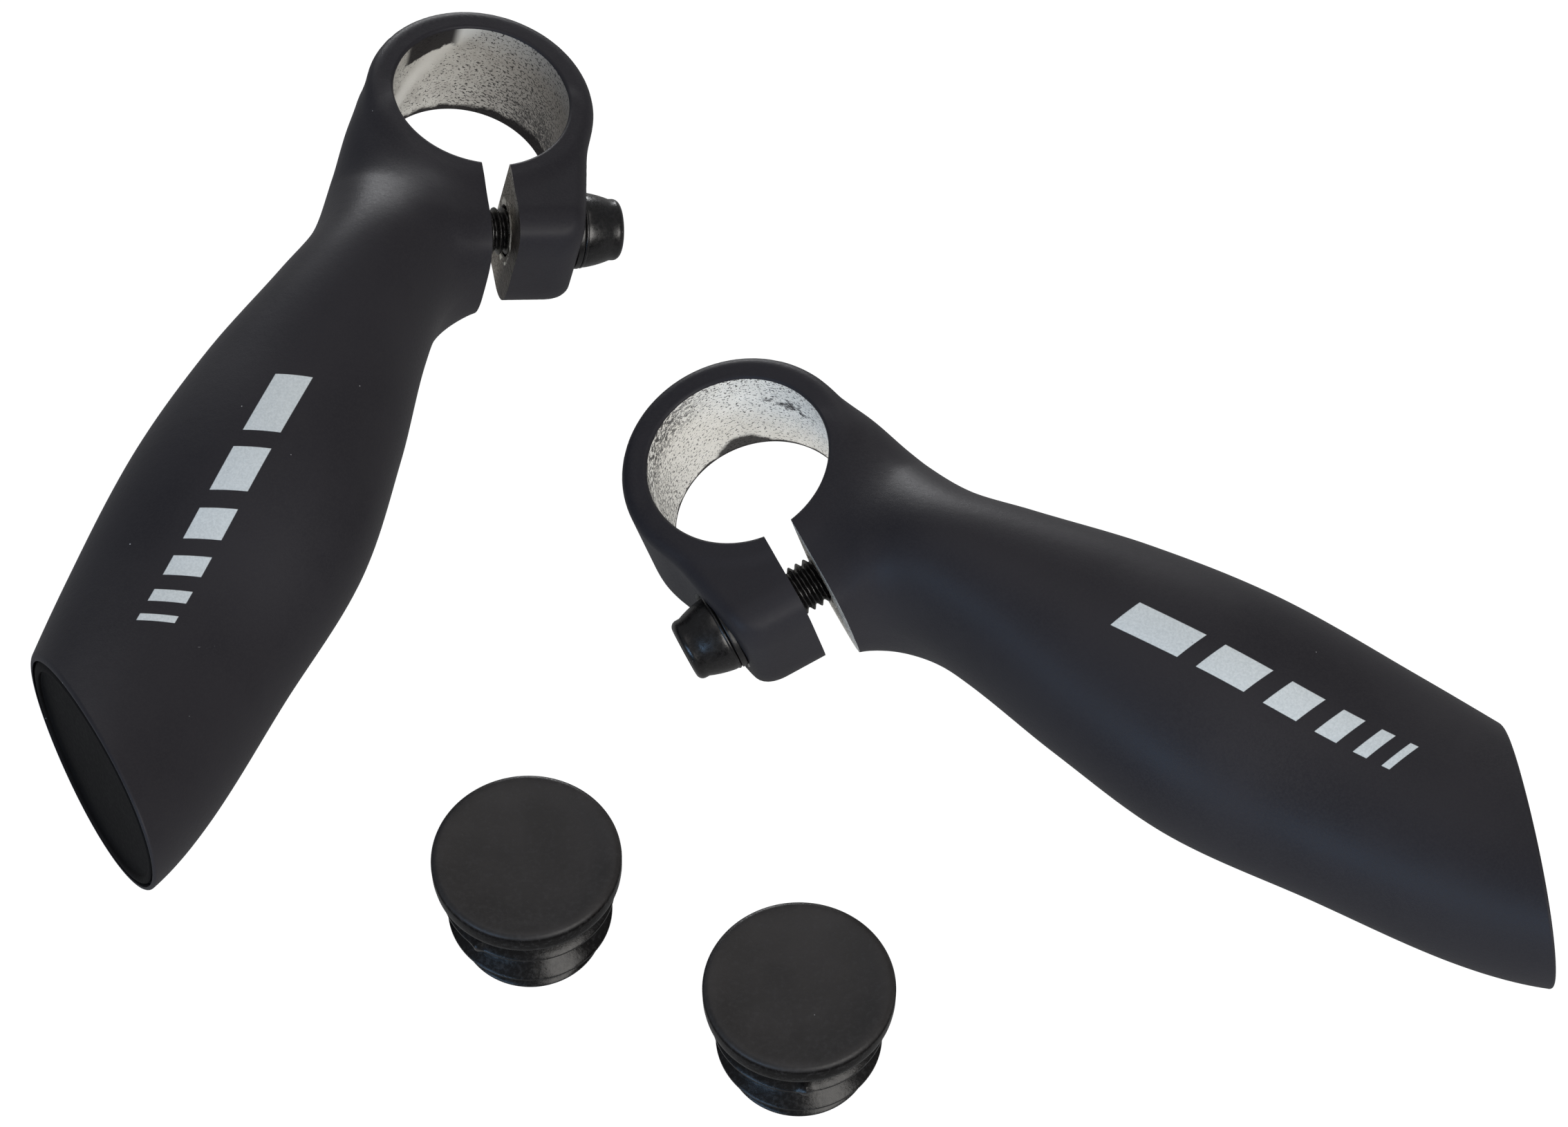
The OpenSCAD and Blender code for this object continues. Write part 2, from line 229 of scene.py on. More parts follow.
def gradient(points, reach=0.02):
    slope = np.empty_like(points)
    for i in range(3):
        shift = np.zeros(3)
        shift[i] = reach
        slope[:, i] = (body_distance(*(points + shift).T)
                       - body_distance(*(points - shift).T)) / (2 * reach)
    return slope


def surface_nets(step):
    """Quads over body_distance = 0, open just beyond JOIN_X."""
    xs = np.arange(JOIN_X + 3.3 * step, -17.5, -step)[::-1]
    ys = np.arange(-25.0, 18.5, step)
    zs = np.arange(-17.0, 14.0, step)
    axes = np.meshgrid(xs, ys, zs, indexing="ij")
    field = body_distance(*axes)
    inside = field < 0
    nx, ny, nz = (n - 1 for n in field.shape)
    total = np.zeros((nx, ny, nz, 3))
    count = np.zeros((nx, ny, nz))

    def at_corner(grid, c):
        return grid[c[0]:nx + c[0], c[1]:ny + c[1], c[2]:nz + c[2]]

    for a in [(i, j, k) for i in (0, 1) for j in (0, 1) for k in (0, 1)]:
        for axis in range(3):
            if a[axis]:
                continue
            b = list(a)
            b[axis] = 1
            fa, fb = at_corner(field, a), at_corner(field, b)
            cross = (fa < 0) != (fb < 0)
            t = np.where(cross, fa / np.where(cross, fa - fb, 1.0), 0.0)
            for i, grid in enumerate(axes):
                ga, gb = at_corner(grid, a), at_corner(grid, b)
                total[..., i] += np.where(cross, ga + (gb - ga) * t, 0.0)
            count += cross
    cells = count > 0
    index = -np.ones(cells.shape, int)
    index[cells] = np.arange(cells.sum())
    verts = total[cells] / count[cells][:, None]

    quads = []
    for axis in range(3):
        low = [slice(None)] * 3
        high = [slice(None)] * 3
        low[axis], high[axis] = slice(0, -1), slice(1, None)
        a, b = inside[tuple(low)], inside[tuple(high)]
        u, v = [i for i in range(3) if i != axis]
        where = np.argwhere(a != b)
        where = where[(where[:, u] > 0) & (where[:, u] < field.shape[u] - 1)
                      & (where[:, v] > 0) & (where[:, v] < field.shape[v] - 1)]
        outward = a[tuple(where.T)]
        if axis == 1:
            outward = ~outward
        ring = []
        for du, dv in ((-1, -1), (0, -1), (0, 0), (-1, 0)):
            cell = where.copy()
            cell[:, u] += du
            cell[:, v] += dv
            ring.append(index[tuple(cell.T)])
        quad = np.stack(ring, 1)
        quad[~outward] = quad[~outward][:, ::-1]
        quads.append(quad)
    return verts, np.concatenate(quads)


def net_edges(quads):
    """Each edge once, and how many quads share it."""
    edges = np.concatenate([quads[:, [i, (i + 1) % 4]] for i in range(4)])
    return np.unique(np.sort(edges, 1), axis=0, return_counts=True)


def relax(verts, quads, rounds=10):
    """Evens the mesh out along the surface and lands every point on it. Points
    on the open edge keep their x."""
    edges, shares = net_edges(quads)
    n = len(verts)
    neighbours = np.bincount(edges.ravel(), minlength=n).astype(float)[:, None]
    fixed = np.zeros(n, bool)
    fixed[edges[shares == 1]] = True
    for k in range(rounds):
        if k < rounds - 2:
            total = np.zeros((n, 3))
            for i in range(3):
                total[:, i] = (np.bincount(edges[:, 0], weights=verts[edges[:, 1], i], minlength=n)
                               + np.bincount(edges[:, 1], weights=verts[edges[:, 0], i],
                                             minlength=n))
            moved = verts + 0.6 * (total / neighbours - verts)
            verts = np.where(fixed[:, None], verts, moved)
        slope = gradient(verts)
        slope[fixed, 0] = 0.0
        error = body_distance(*verts.T)
        verts = verts - slope * (error / np.maximum((slope * slope).sum(1), 1e-6))[:, None]
    return verts


# ----------------------------------------------------------------- mesh helpers
Piece = namedtuple("Piece", "points faces normals centres")     # the last two per face


def new_mesh(name, verts, faces):
    mesh = bpy.data.meshes.new(name)
    mesh.from_pydata([tuple(v) for v in np.asarray(verts, float)], [],
                     [tuple(int(i) for i in face) for face in faces])
    mesh.update()
    return mesh


def new_object(name, data):
    obj = bpy.data.objects.new(name, data)
    bpy.context.scene.collection.objects.link(obj)
    return obj


def grid_faces(rows, cols, start=0, flip=False):
    """Quads between closed rows of points."""
    faces = []
    for i in range(rows - 1):
        for j in range(cols):
            a = start + i * cols + j
            b = start + i * cols + (j + 1) % cols
            quad = (a, b, b + cols, a + cols)
            faces.append(quad[::-1] if flip else quad)
    return faces


def skin(rings, sides, flip=False):
    """Faces between rings of point indices. A ring of one point is a pole."""
    faces = []
    for a, b in zip(rings, rings[1:]):
        for j in range(sides):
            k = (j + 1) % sides
            if len(a) == 1:
                face = (a[0], b[k], b[j])
            elif len(b) == 1:
                face = (a[j], a[k], b[0])
            else:
                face = (a[j], a[k], b[k], b[j])
            faces.append(face[:1] + face[:0:-1] if flip else face)
    return faces


def revolve(profile, sides, closed=False):
    """Profile [(r, z)], turned about Z. It runs from the bottom of the axis,
    outwards and up, so that faces look out. r = 0 makes a pole. A closed
    profile joins its end to its start."""
    verts, rings = [], []
    for r, z in profile:
        if r < 1e-6:
            rings.append([len(verts)])
            verts.append((0, 0, z))
        else:
            rings.append(list(range(len(verts), len(verts) + sides)))
            verts += [(r * math.cos(2 * math.pi * j / sides),
                       r * math.sin(2 * math.pi * j / sides), z) for j in range(sides)]
    if closed:
        rings.append(rings[0])
    return np.array(verts, float), skin(rings, sides)


def arc(cx, cy, radius, start, end, steps):
    turns = [math.radians(start + (end - start) * k / steps) for k in range(steps + 1)]
    return [(cx + radius * math.cos(t), cy + radius * math.sin(t)) for t in turns]


def cut(obj, verts, faces, operation="DIFFERENCE"):
    cutter = new_object("tmp_cutter", new_mesh("cutter", verts, faces))
    modifier = obj.modifiers.new("cut", "BOOLEAN")
    modifier.operation = operation
    modifier.object = cutter
    modifier.solver = "MANIFOLD"
    depsgraph = bpy.context.evaluated_depsgraph_get()
    mesh = bpy.data.meshes.new_from_object(obj.evaluated_get(depsgraph))
    obj.modifiers.clear()
    old = obj.data
    obj.data = mesh
    bpy.data.meshes.remove(old)
    bpy.data.objects.remove(cutter)


def take_apart(obj):
    """Points and faces of a temporary object, which is removed."""
    mesh = obj.data
    points = np.empty(len(mesh.vertices) * 3)
    mesh.vertices.foreach_get("co", points)
    faces = [tuple(p.vertices) for p in mesh.polygons]
    bpy.data.objects.remove(obj)
    bpy.data.meshes.remove(mesh)
    return points.reshape(-1, 3), faces


def fill_bmesh(points, faces):
    bm = bmesh.new()
    verts = [bm.verts.new(p) for p in points]
    for face in faces:
        try:
            bm.faces.new([verts[i] for i in face])
        except ValueError:      # the face is already there or repeats a point
            pass
    return bm


def face_outwards(bm):
    bmesh.ops.recalc_face_normals(bm, faces=bm.faces)
    if bm.calc_volume(signed=True) < 0:
        bmesh.ops.reverse_faces(bm, faces=bm.faces)


def tidy(points, faces):
    """Merges doubled points, drops loose ones and turns all faces outwards."""
    bm = fill_bmesh(points, faces)
    bmesh.ops.remove_doubles(bm, verts=bm.verts, dist=1e-5)
    loose = [v for v in bm.verts if not v.link_faces]
    if loose:
        bmesh.ops.delete(bm, geom=loose, context="VERTS")
    face_outwards(bm)
    bm.verts.index_update()
    piece = Piece(np.array([tuple(v.co) for v in bm.verts]),
                  [tuple(v.index for v in f.verts) for f in bm.faces],
                  np.array([tuple(f.normal) for f in bm.faces]),
                  np.array([tuple(f.calc_center_median()) for f in bm.faces]))
    bm.free()
    return piece


# -------------------------------------------------------------- one-piece body
def loft_ring(station, slant, inset, depth=0.0):
    """Points around the grip where the slanting plane at station meets it. slant
    runs from 0 (square) to 1 (the end plane), inset shrinks the section and
    depth is behind the plane."""
    angle = 2 * np.pi * np.arange(AROUND) / AROUND
    cos, sin = np.cos(angle), np.sin(angle)

    def section_at(x):
        y_mid, y_half, z_mid, z_half = sections(x)
        return y_mid + (y_half - inset) * cos, z_mid + (z_half - inset) * sin

    goal = station - depth * END_NORMAL_LENGTH
    x = np.full(AROUND, float(goal))
    for _ in range(40):
        y, z = section_at(x)
        x = x + 0.8 * (goal - slant * (END_KY * y + END_KZ * z) - x)
    return np.stack([x, *section_at(x)], 1)


def grip_ring(station, inset):
    """A ring along the grip, which slants more and more towards the end."""
    return loft_ring(station, float(smoothstep(station, 44.0, 96.0)), inset)


def end_ring(inset, depth):
    return loft_ring(END_X, 1.0, inset, depth)


def zipper(loop_a, angle_a, loop_b, angle_b):
    """Triangles between two closed loops, both sorted by angle from zero."""
    faces = []
    count_a, count_b = len(loop_a), len(loop_b)

    def following(angles, i):
        return angles[i + 1] if i + 1 < len(angles) else angles[(i + 1) % len(angles)] + 2 * math.pi

    i = j = 0
    while i < count_a or j < count_b:
        a, b = loop_a[i % count_a], loop_b[j % count_b]
        if j >= count_b or (i < count_a and following(angle_a, i) <= following(angle_b, j)):
            faces.append((a, b, loop_a[(i + 1) % count_a]))
            i += 1
        else:
            faces.append((a, b, loop_b[(j + 1) % count_b]))
            j += 1
    return faces


def bore_cutter(sides=224):
    """The bore with both mouths rounded. The mouths follow the casting's own
    top and bottom, which rise a little towards the neck."""
    angle = 2 * np.pi * np.arange(sides) / sides
    x, y = (BORE_R + 0.3) * np.cos(angle), (BORE_R + 0.3) * np.sin(angle)

    def surface_height(sign):
        low, high = np.full(sides, 5.0), np.full(sides, 15.0)
        for _ in range(40):
            middle = (low + high) / 2
            inside = body_distance(x, y, sign * middle) < 0
            low, high = np.where(inside, middle, low), np.where(inside, high, middle)
        return (low + high) / 2

    rows = []
    for sign, mouth in ((-1, 0.18), (1, 0.45)):         # rounding at the bottom and the top
        height = surface_height(sign)
        outer = BORE_R + mouth + 0.02
        part = [(outer, np.full(sides, sign * 20.0)), (outer, sign * (height + 0.05))]
        for degrees in (86, 74, 60, 45, 30, 15, 0):
            turn = math.radians(degrees)
            part.append((BORE_R + mouth * (1 - math.cos(turn)),
                         sign * (height - mouth * (1 - math.sin(turn)))))
        rows += part if sign < 0 else part[::-1]
    verts = np.concatenate([np.stack([r * np.cos(angle), r * np.sin(angle), z], 1)
                            for r, z in rows])
    faces = grid_faces(len(rows), sides)
    faces.append(tuple(range(sides))[::-1])
    faces.append(tuple(range((len(rows) - 1) * sides, len(rows) * sides)))
    return verts, faces


def build_blank():
    """The solid ring, lugs and neck, closed flat at JOIN_X."""
    verts, quads = surface_nets(NET_STEP)
    bm = fill_bmesh(relax(verts, quads), quads)
    bmesh.ops.bisect_plane(bm, geom=bm.verts[:] + bm.edges[:] + bm.faces[:], dist=0.03,
                           plane_co=(JOIN_X, 0, 0), plane_no=(1, 0, 0), clear_outer=True)
    for v in bm.verts:
        if abs(v.co.x - JOIN_X) < 0.031:
            v.co.x = JOIN_X
    rim = [edge for edge in bm.edges if len(edge.link_faces) == 1]
    bmesh.ops.contextual_create(bm, geom=rim)
    face_outwards(bm)
    mesh = bpy.data.meshes.new("blank")
    bm.to_mesh(mesh)
    bm.free()
    return new_object("tmp_blank", mesh)


def cut_clamp(blank):
    """Cuts the bore, the slit and the bolt's holes."""
    cut(blank, *bore_cutter())
    box = [(x, y, z) for x in (BORE_R - 3, 42.0) for y in (-SLIT_HALF, SLIT_HALF)
           for z in (-30, 30)]
    box_faces = [(0, 1, 3, 2), (4, 6, 7, 5), (0, 4, 5, 1), (2, 3, 7, 6), (0, 2, 6, 4), (1, 5, 7, 3)]
    cut(blank, slit_to_local(box), box_faces)
    for profile in (
            # clearance hole through the ear, a little countersunk at the slit
            [(0, 0.0), (3.32, 0.0), (3.32, SLIT_HALF), (3.2, SLIT_HALF + 0.15), (3.2, 30), (0, 30)],
            # spot face for the washer
            [(0, SEAT), (5.3, SEAT), (5.45, SEAT + 0.15), (5.45, SEAT + 12), (0, SEAT + 12)],
            # tapped hole in the neck, countersunk too
            [(0, TAP_END - 1.2), (3.03, TAP_END), (3.03, -SLIT_HALF - 0.3), (3.35, -SLIT_HALF),
             (3.35, -SLIT_HALF + 0.3), (0, -SLIT_HALF + 0.3)]):
        verts, faces = revolve(profile, 96)
        cut(blank, bolt_to_local(verts), faces)


def build_body():
    """The casting: the netted clamp and neck, zipped to the lofted hollow grip."""
    blank = build_blank()
    cut_clamp(blank)
    points, faces = take_apart(blank)
    on_join = np.abs(points[:, 0] - JOIN_X) < 2e-5
    faces = [f for f in faces if not all(on_join[i] for i in f)]
    loop = np.argwhere(on_join).ravel()
    y_mid, y_half, z_mid, z_half = sections([JOIN_X])
    angle = np.arctan2((points[loop, 2] - z_mid) / z_half,
                       (points[loop, 1] - y_mid) / y_half) % (2 * math.pi)
    order = np.argsort(angle)
    loop, angle = loop[order], angle[order]

    # along the outside, over the rounded end, into the cap's seat and back inside
    rings = [grip_ring(station, 0.0) for station in np.linspace(JOIN_X + 0.9, 103.2, 78)]
    for k in range(6):
        turn = math.radians(90.0 * k / 5)
        rings.append(end_ring(EDGE_R * (1 - math.cos(turn)), EDGE_R * (1 - math.sin(turn))))
    rings += [end_ring(inset, depth) for inset, depth in (
        (LIP - 0.05, 0.0), (LIP, 0.05), (LIP, 0.8), (0.8, 1.0), (0.8, 3.1), (WALL, 3.1))]
    rings += [grip_ring(station, WALL) for station in np.linspace(98.0, 40.0, 24)]
    base = len(points)
    last = base + (len(rings) - 1) * AROUND
    faces += zipper(loop, angle, np.arange(base, base + AROUND),
                    2 * np.pi * np.arange(AROUND) / AROUND)
    faces += grid_faces(len(rings), AROUND, base, flip=True)
    faces.append(tuple(range(last, last + AROUND))[::-1])
    return tidy(np.concatenate([points] + rings), faces)


PAINT, BORE, SLIT, SPOT_FACE, HOLE, HOLLOW = range(6)       # material slots of the casting


def body_finish(body):
    """Finish of each face, the surface's true normal at each point, and which
    faces lie on the smooth outside."""
    centres, normals = body.centres, body.normals
    bolt = local_to_bolt(centres)
    bolt_r, bolt_z = np.hypot(bolt[:, 0], bolt[:, 1]), bolt[:, 2]
    from_slit = np.abs(bolt_z) - SLIT_HALF
    bore_r = np.hypot(centres[:, 0], centres[:, 1])
    distance = body_distance(*centres.T)
    radial = np.abs((normals[:, 0] * centres[:, 0] + normals[:, 1] * centres[:, 1])
                    / np.maximum(bore_r, 1e-6))
    finish = np.full(len(body.faces), PAINT)
    finish[(np.abs(bore_r - BORE_R) < 0.03) & (radial > 0.9) & (distance < -0.2)] = BORE
    finish[(np.abs(from_slit) < 0.004) & (bolt[:, 0] + BOLT_REACH > 4.0)] = SLIT
    finish[(bolt_z > SEAT - 0.02) & (bolt_r < 5.5) & (distance < -0.01)] = SPOT_FACE
    finish[(bolt_r < 3.8) & (bolt_z < SEAT - 0.05) & (from_slit > 0.01) & (distance < -0.2)] = HOLE
    finish[(centres[:, 0] > 38) & (distance < -1.5)] = HOLLOW
    slope = gradient(body.points)
    slope /= np.maximum(np.linalg.norm(slope, axis=1), 1e-9)[:, None]
    on_surface = np.abs(body_distance(*body.points.T)) < 0.012
    outside = np.array([all(on_surface[i] for i in f) for f in body.faces]) & (finish == PAINT)
    return finish, slope, outside


# ------------------------------------------------------------- the other pieces
CAP_EDGE = 0.80                     # inset of the cap's side wall
BEAD_R = 0.5
# (inset, depth): from the plate's inner face down the skirt and up its outside
CAP_BACK = ((5.2, 3.0), (4.9, 3.15), (4.8, 7.2), (4.6, 7.5), (3.5, 7.5), (3.2, 7.2),
            (3.15, 3.2), (3.05, 3.02), (1.1, 3.02), (0.95, 2.9), (0.92, 1.1),
            (CAP_EDGE, 0.95), (CAP_EDGE, 0.55))
# (inset, depth): from the bead to the rim of the dish
CAP_FACE = ((1.85, 0.40), (2.0, 0.50), (2.2, 0.56), (2.6, 0.60), (3.2, 0.63))
# (share of the rim's size, sink below it)
CAP_DISH = ((0.85, 0.03), (0.68, 0.08), (0.5, 0.13), (0.33, 0.16), (0.16, 0.18))


def build_cap():
    """End cap: a bead around its edge, a shallow dished face and a skirt."""
    rings = [end_ring(inset, depth) for inset, depth in CAP_BACK]
    for degrees in (170, 150, 130, 110, 90, 70, 50, 35, 22):
        turn = math.radians(degrees)
        rings.append(end_ring(CAP_EDGE + BEAD_R + BEAD_R * math.cos(turn),
                              0.45 - BEAD_R * math.sin(turn)))
    rings += [end_ring(inset, depth) for inset, depth in CAP_FACE]
    rim = rings[-1]
    centre = rim.mean(0)
    rings += [centre + (rim - centre) * share - END_AXIS * sink for share, sink in CAP_DISH]
    points = np.concatenate(rings + [(centre - END_AXIS * 0.19)[None], rings[0].mean(0)[None]])
    faces = grid_faces(len(rings), AROUND, flip=True)
    tip = len(rings) * AROUND
    last = tip - AROUND
    faces += [(last + j, last + (j + 1) % AROUND, tip) for j in range(AROUND)]
    faces += [((j + 1) % AROUND, j, tip + 1) for j in range(AROUND)]
    return tidy(points, faces)


THREAD_CREST, THREAD_ROOT = 2.96, 2.42
THREAD_RUNOUT = 0.35                # length under the head where the thread dies away


def thread_radius(z, angle):
    """M6 x 1 profile, right-handed."""
    turn = (z - angle / (2 * math.pi)) % 1.0
    off_crest = np.abs(turn - 0.5) * 2       # 0 at the crest, 1 at the root
    share = np.clip((0.875 - off_crest) / (0.875 - 0.125), 0, 1)
    share = share * share * (3 - 2 * share) * 0.25 + share * 0.75
    return THREAD_ROOT + (THREAD_CREST - THREAD_ROOT) * share


def build_shank(sides=64, rows_per_mm=12, tip_r=1.9):
    low, high = -BOLT_LEN, 0.4
    rows = int(round((high - low) * rows_per_mm)) + 1
    around = 2 * np.pi * np.arange(sides) / sides
    z, angle = np.meshgrid(np.linspace(low, high, rows), around, indexing="ij")
    r = thread_radius(z, angle)
    r = np.minimum(r, 2.30 + np.maximum(0.0, (z - low)) * 0.9)
    r = np.where(z > -THREAD_RUNOUT,
                 THREAD_ROOT + (r - THREAD_ROOT) * np.clip(-z / THREAD_RUNOUT, 0, 1), r)
    points = np.stack([r * np.cos(angle), r * np.sin(angle), z], -1).reshape(-1, 3)
    tip = np.stack([tip_r * np.cos(around), tip_r * np.sin(around), np.full(sides, low)], 1)
    points = np.concatenate([points, tip, [[0, 0, low + 0.2], [0, 0, high]]])
    faces = grid_faces(rows, sides)
    base = rows * sides
    top = base - sides
    pairs = [(j, (j + 1) % sides) for j in range(sides)]
    faces += [(base + j, base + k, k, j) for j, k in pairs]
    faces += [(base + k, base + j, base + sides) for j, k in pairs]
    faces += [(top + j, top + k, base + sides + 1) for j, k in pairs]
    return tidy(points, faces)


HEAD_PROFILE = ([(0, 0.0), (4.1, 0.0), (4.4, 0.02)] + arc(4.56, 0.24, 0.24, -70, 60, 5)
                + [(4.69, 0.52), (4.68, 0.80), (4.62, 1.2), (4.48, 1.9), (4.30, 2.6),
                   (4.08, 3.3), (3.84, 3.95)]
                + arc(2.98, 4.42, 0.86, 5, 88, 9) + [(2.94, 5.28), (0, 5.28)])
SOCKET_FLATS = 4.9                  # across the hexagon


def build_bolt():
    """Socket-head screw. Origin under the head, +Z out of the head."""
    shank = build_shank()
    head = new_object("tmp_head", new_mesh("head", *revolve(HEAD_PROFILE, 96)))
    radius = SOCKET_FLATS / math.sqrt(3)
    hexagon = [(radius * math.cos(math.radians(60 * j + 12)),
                radius * math.sin(math.radians(60 * j + 12)), z)
               for z in (2.2, 9.0) for j in range(6)]
    hexagon_faces = [(j, (j + 1) % 6, 6 + (j + 1) % 6, 6 + j) for j in range(6)]
    hexagon_faces += [(5, 4, 3, 2, 1, 0), (6, 7, 8, 9, 10, 11)]
    cut(head, hexagon, hexagon_faces)
    # conical lead-in and drill point
    cut(head, *revolve([(0, 1.2), (2.42, 2.25), (2.42, 4.92), (2.82, 5.30), (2.82, 8), (0, 8)], 96))
    cut(head, shank.points, shank.faces, "UNION")
    return tidy(*take_apart(head))


def build_washer():
    profile = ([(3.2, 0.12), (3.32, 0.0), (4.70, 0.0)] + arc(4.73, 0.12, 0.12, -80, 0, 3)
               + arc(4.69, 0.62, 0.16, 0, 80, 4) + [(4.5, 0.8), (3.35, 0.8), (3.2, 0.68)])
    # a hair clear of the seat and of the head
    profile = [(r, 0.015 + 0.9625 * z) for r, z in profile]
    return tidy(*revolve(profile, 96, closed=True))


PLUG_UNDER = 13.7                   # underside of the plug's cap
PLUG_TOP = PLUG_UNDER + 3.38
PLUG_R = 10.88
STEM_R = 7.6
UPPER_FIN = PLUG_UNDER - 3.5
# fins: rim radius, height, how much they waver
FINS = ((8.3, 0.95, 0.5), (9.5, PLUG_UNDER - 9.0, 0.8), (10.0, UPPER_FIN, 1.0))
# the dished top: radius, depth below PLUG_TOP
PLUG_DISH = ((9.75, 0.012), (9.4, 0.045), (9.0, 0.105), (8.5, 0.20), (8.0, 0.29), (7.4, 0.375),
             (6.6, 0.45), (5.6, 0.51), (4.4, 0.56), (3.0, 0.60), (1.5, 0.625), (0.0, 0.63))


def plug_profile():
    """[(r, z, share of the waver)] from the bore's blind end to the dish's middle."""
    profile = []

    def add(r, z, waver=0.0):
        profile.append((r, z, waver))

    # down the bore of the stem to its foot
    add(0.0, PLUG_UNDER + 0.55)
    add(3.2, PLUG_UNDER + 0.50)
    add(5.0, PLUG_UNDER + 0.30)
    for r, z in arc(5.0, PLUG_UNDER - 0.5, 0.8, 90, 0, 5):
        add(r, z)
    for r, z in ((5.8, 8.0), (5.8, 0.6), (5.95, 0.15), (6.15, 0.0), (6.8, 0.0)):
        add(r, z)
    # up the stem's outside, over the fins
    for n, (rim, height, waver) in enumerate(FINS):
        if n == 0:
            add(7.35, 0.05)
            add(7.9, 0.25, waver * 0.5)
        else:
            add(STEM_R, height - 1.3)
            add(STEM_R + 0.12, height - 0.75)
            add(STEM_R + 0.5, height - 0.45, waver * 0.3)
            add((STEM_R + rim) / 2, height - 0.42, waver * 0.7)
        for inset, rise in ((0.55, -0.32), (0.18, -0.2), (0.02, 0.02), (0.03, 0.26),
                            (0.22, 0.46), (0.6, 0.66)):
            add(rim - inset, height + rise, waver)
        add((STEM_R + rim) / 2 - 0.05, height + 1.08, waver * 0.6)
        add(STEM_R + 0.25, height + 1.45, waver * 0.2)
        add(STEM_R + 0.03, height + 1.75)
    # the cap's underside, edge and dish
    for out, rise in ((0.0, -0.5), (0.1, -0.12), (0.45, 0.0)):
        add(STEM_R + out, PLUG_UNDER + rise)
    for inset, rise in ((1.0, 0.0), (0.55, 0.08), (0.24, 0.30), (0.10, 0.62), (0.03, 1.2)):
        add(PLUG_R - inset, PLUG_UNDER + rise)
    for r, z in arc(PLUG_R - 0.85, PLUG_TOP - 0.85, 0.85, 0, 88, 8):
        add(r, z)
    for r, dip in PLUG_DISH:
        add(r, PLUG_TOP - dip)
    return profile


def build_plug(seed, nub_angle, sides=160):
    """Handlebar plug: dished cap, hollow stem and three soft fins that waver."""
    rng = np.random.RandomState(seed)
    angle = 2 * np.pi * np.arange(sides) / sides

    def wave(orders):
        return sum(rng.uniform(0.3, 1.0) / k * np.cos(k * angle + rng.uniform(0, 6.28))
                   for k in orders)

    wave_r = wave((2, 3, 4, 5, 7, 9))
    wave_z = wave((2, 3, 5, 6, 8))
    points, rings = [], []
    for r, z, waver in plug_profile():
        if r < 1e-6:
            rings.append([len(points)])
            points.append((0.0, 0.0, z))
            continue
        rings.append(list(range(len(points), len(points) + sides)))
        ring_r = r + 0.055 * waver * wave_r
        ring_z = z + 0.075 * waver * wave_z
        # moulding lump on the upper fin
        if abs(z - UPPER_FIN) < 1.0 and r > 8.6:
            away = np.abs((angle - nub_angle + math.pi) % (2 * math.pi) - math.pi) * r
            lump = np.exp(-(away / 0.62) ** 2)
            ring_r = ring_r + 0.34 * lump * waver
            ring_z = ring_z + 0.30 * lump * waver * (1 if z > UPPER_FIN else -1.1)
        points += list(zip(ring_r * np.cos(angle), ring_r * np.sin(angle),
                           np.maximum(ring_z, 0.0)))
    return tidy(np.array(points), skin(rings, sides, flip=True))


# -------------------------------------------------------------------- materials
class Value:
    """A number in a node tree. Arithmetic on it makes Math nodes."""

    def __init__(self, shade, socket):
        self.shade, self.socket = shade, socket

    def __add__(self, other):
        return self.shade.math("ADD", self, other)

    def __sub__(self, other):
        return self.shade.math("SUBTRACT", self, other)

    def __rsub__(self, other):
        return self.shade.math("SUBTRACT", other, self)

    def __mul__(self, other):
        return self.shade.math("MULTIPLY", self, other)

    def __pow__(self, other):
        return self.shade.math("POWER", self, other)


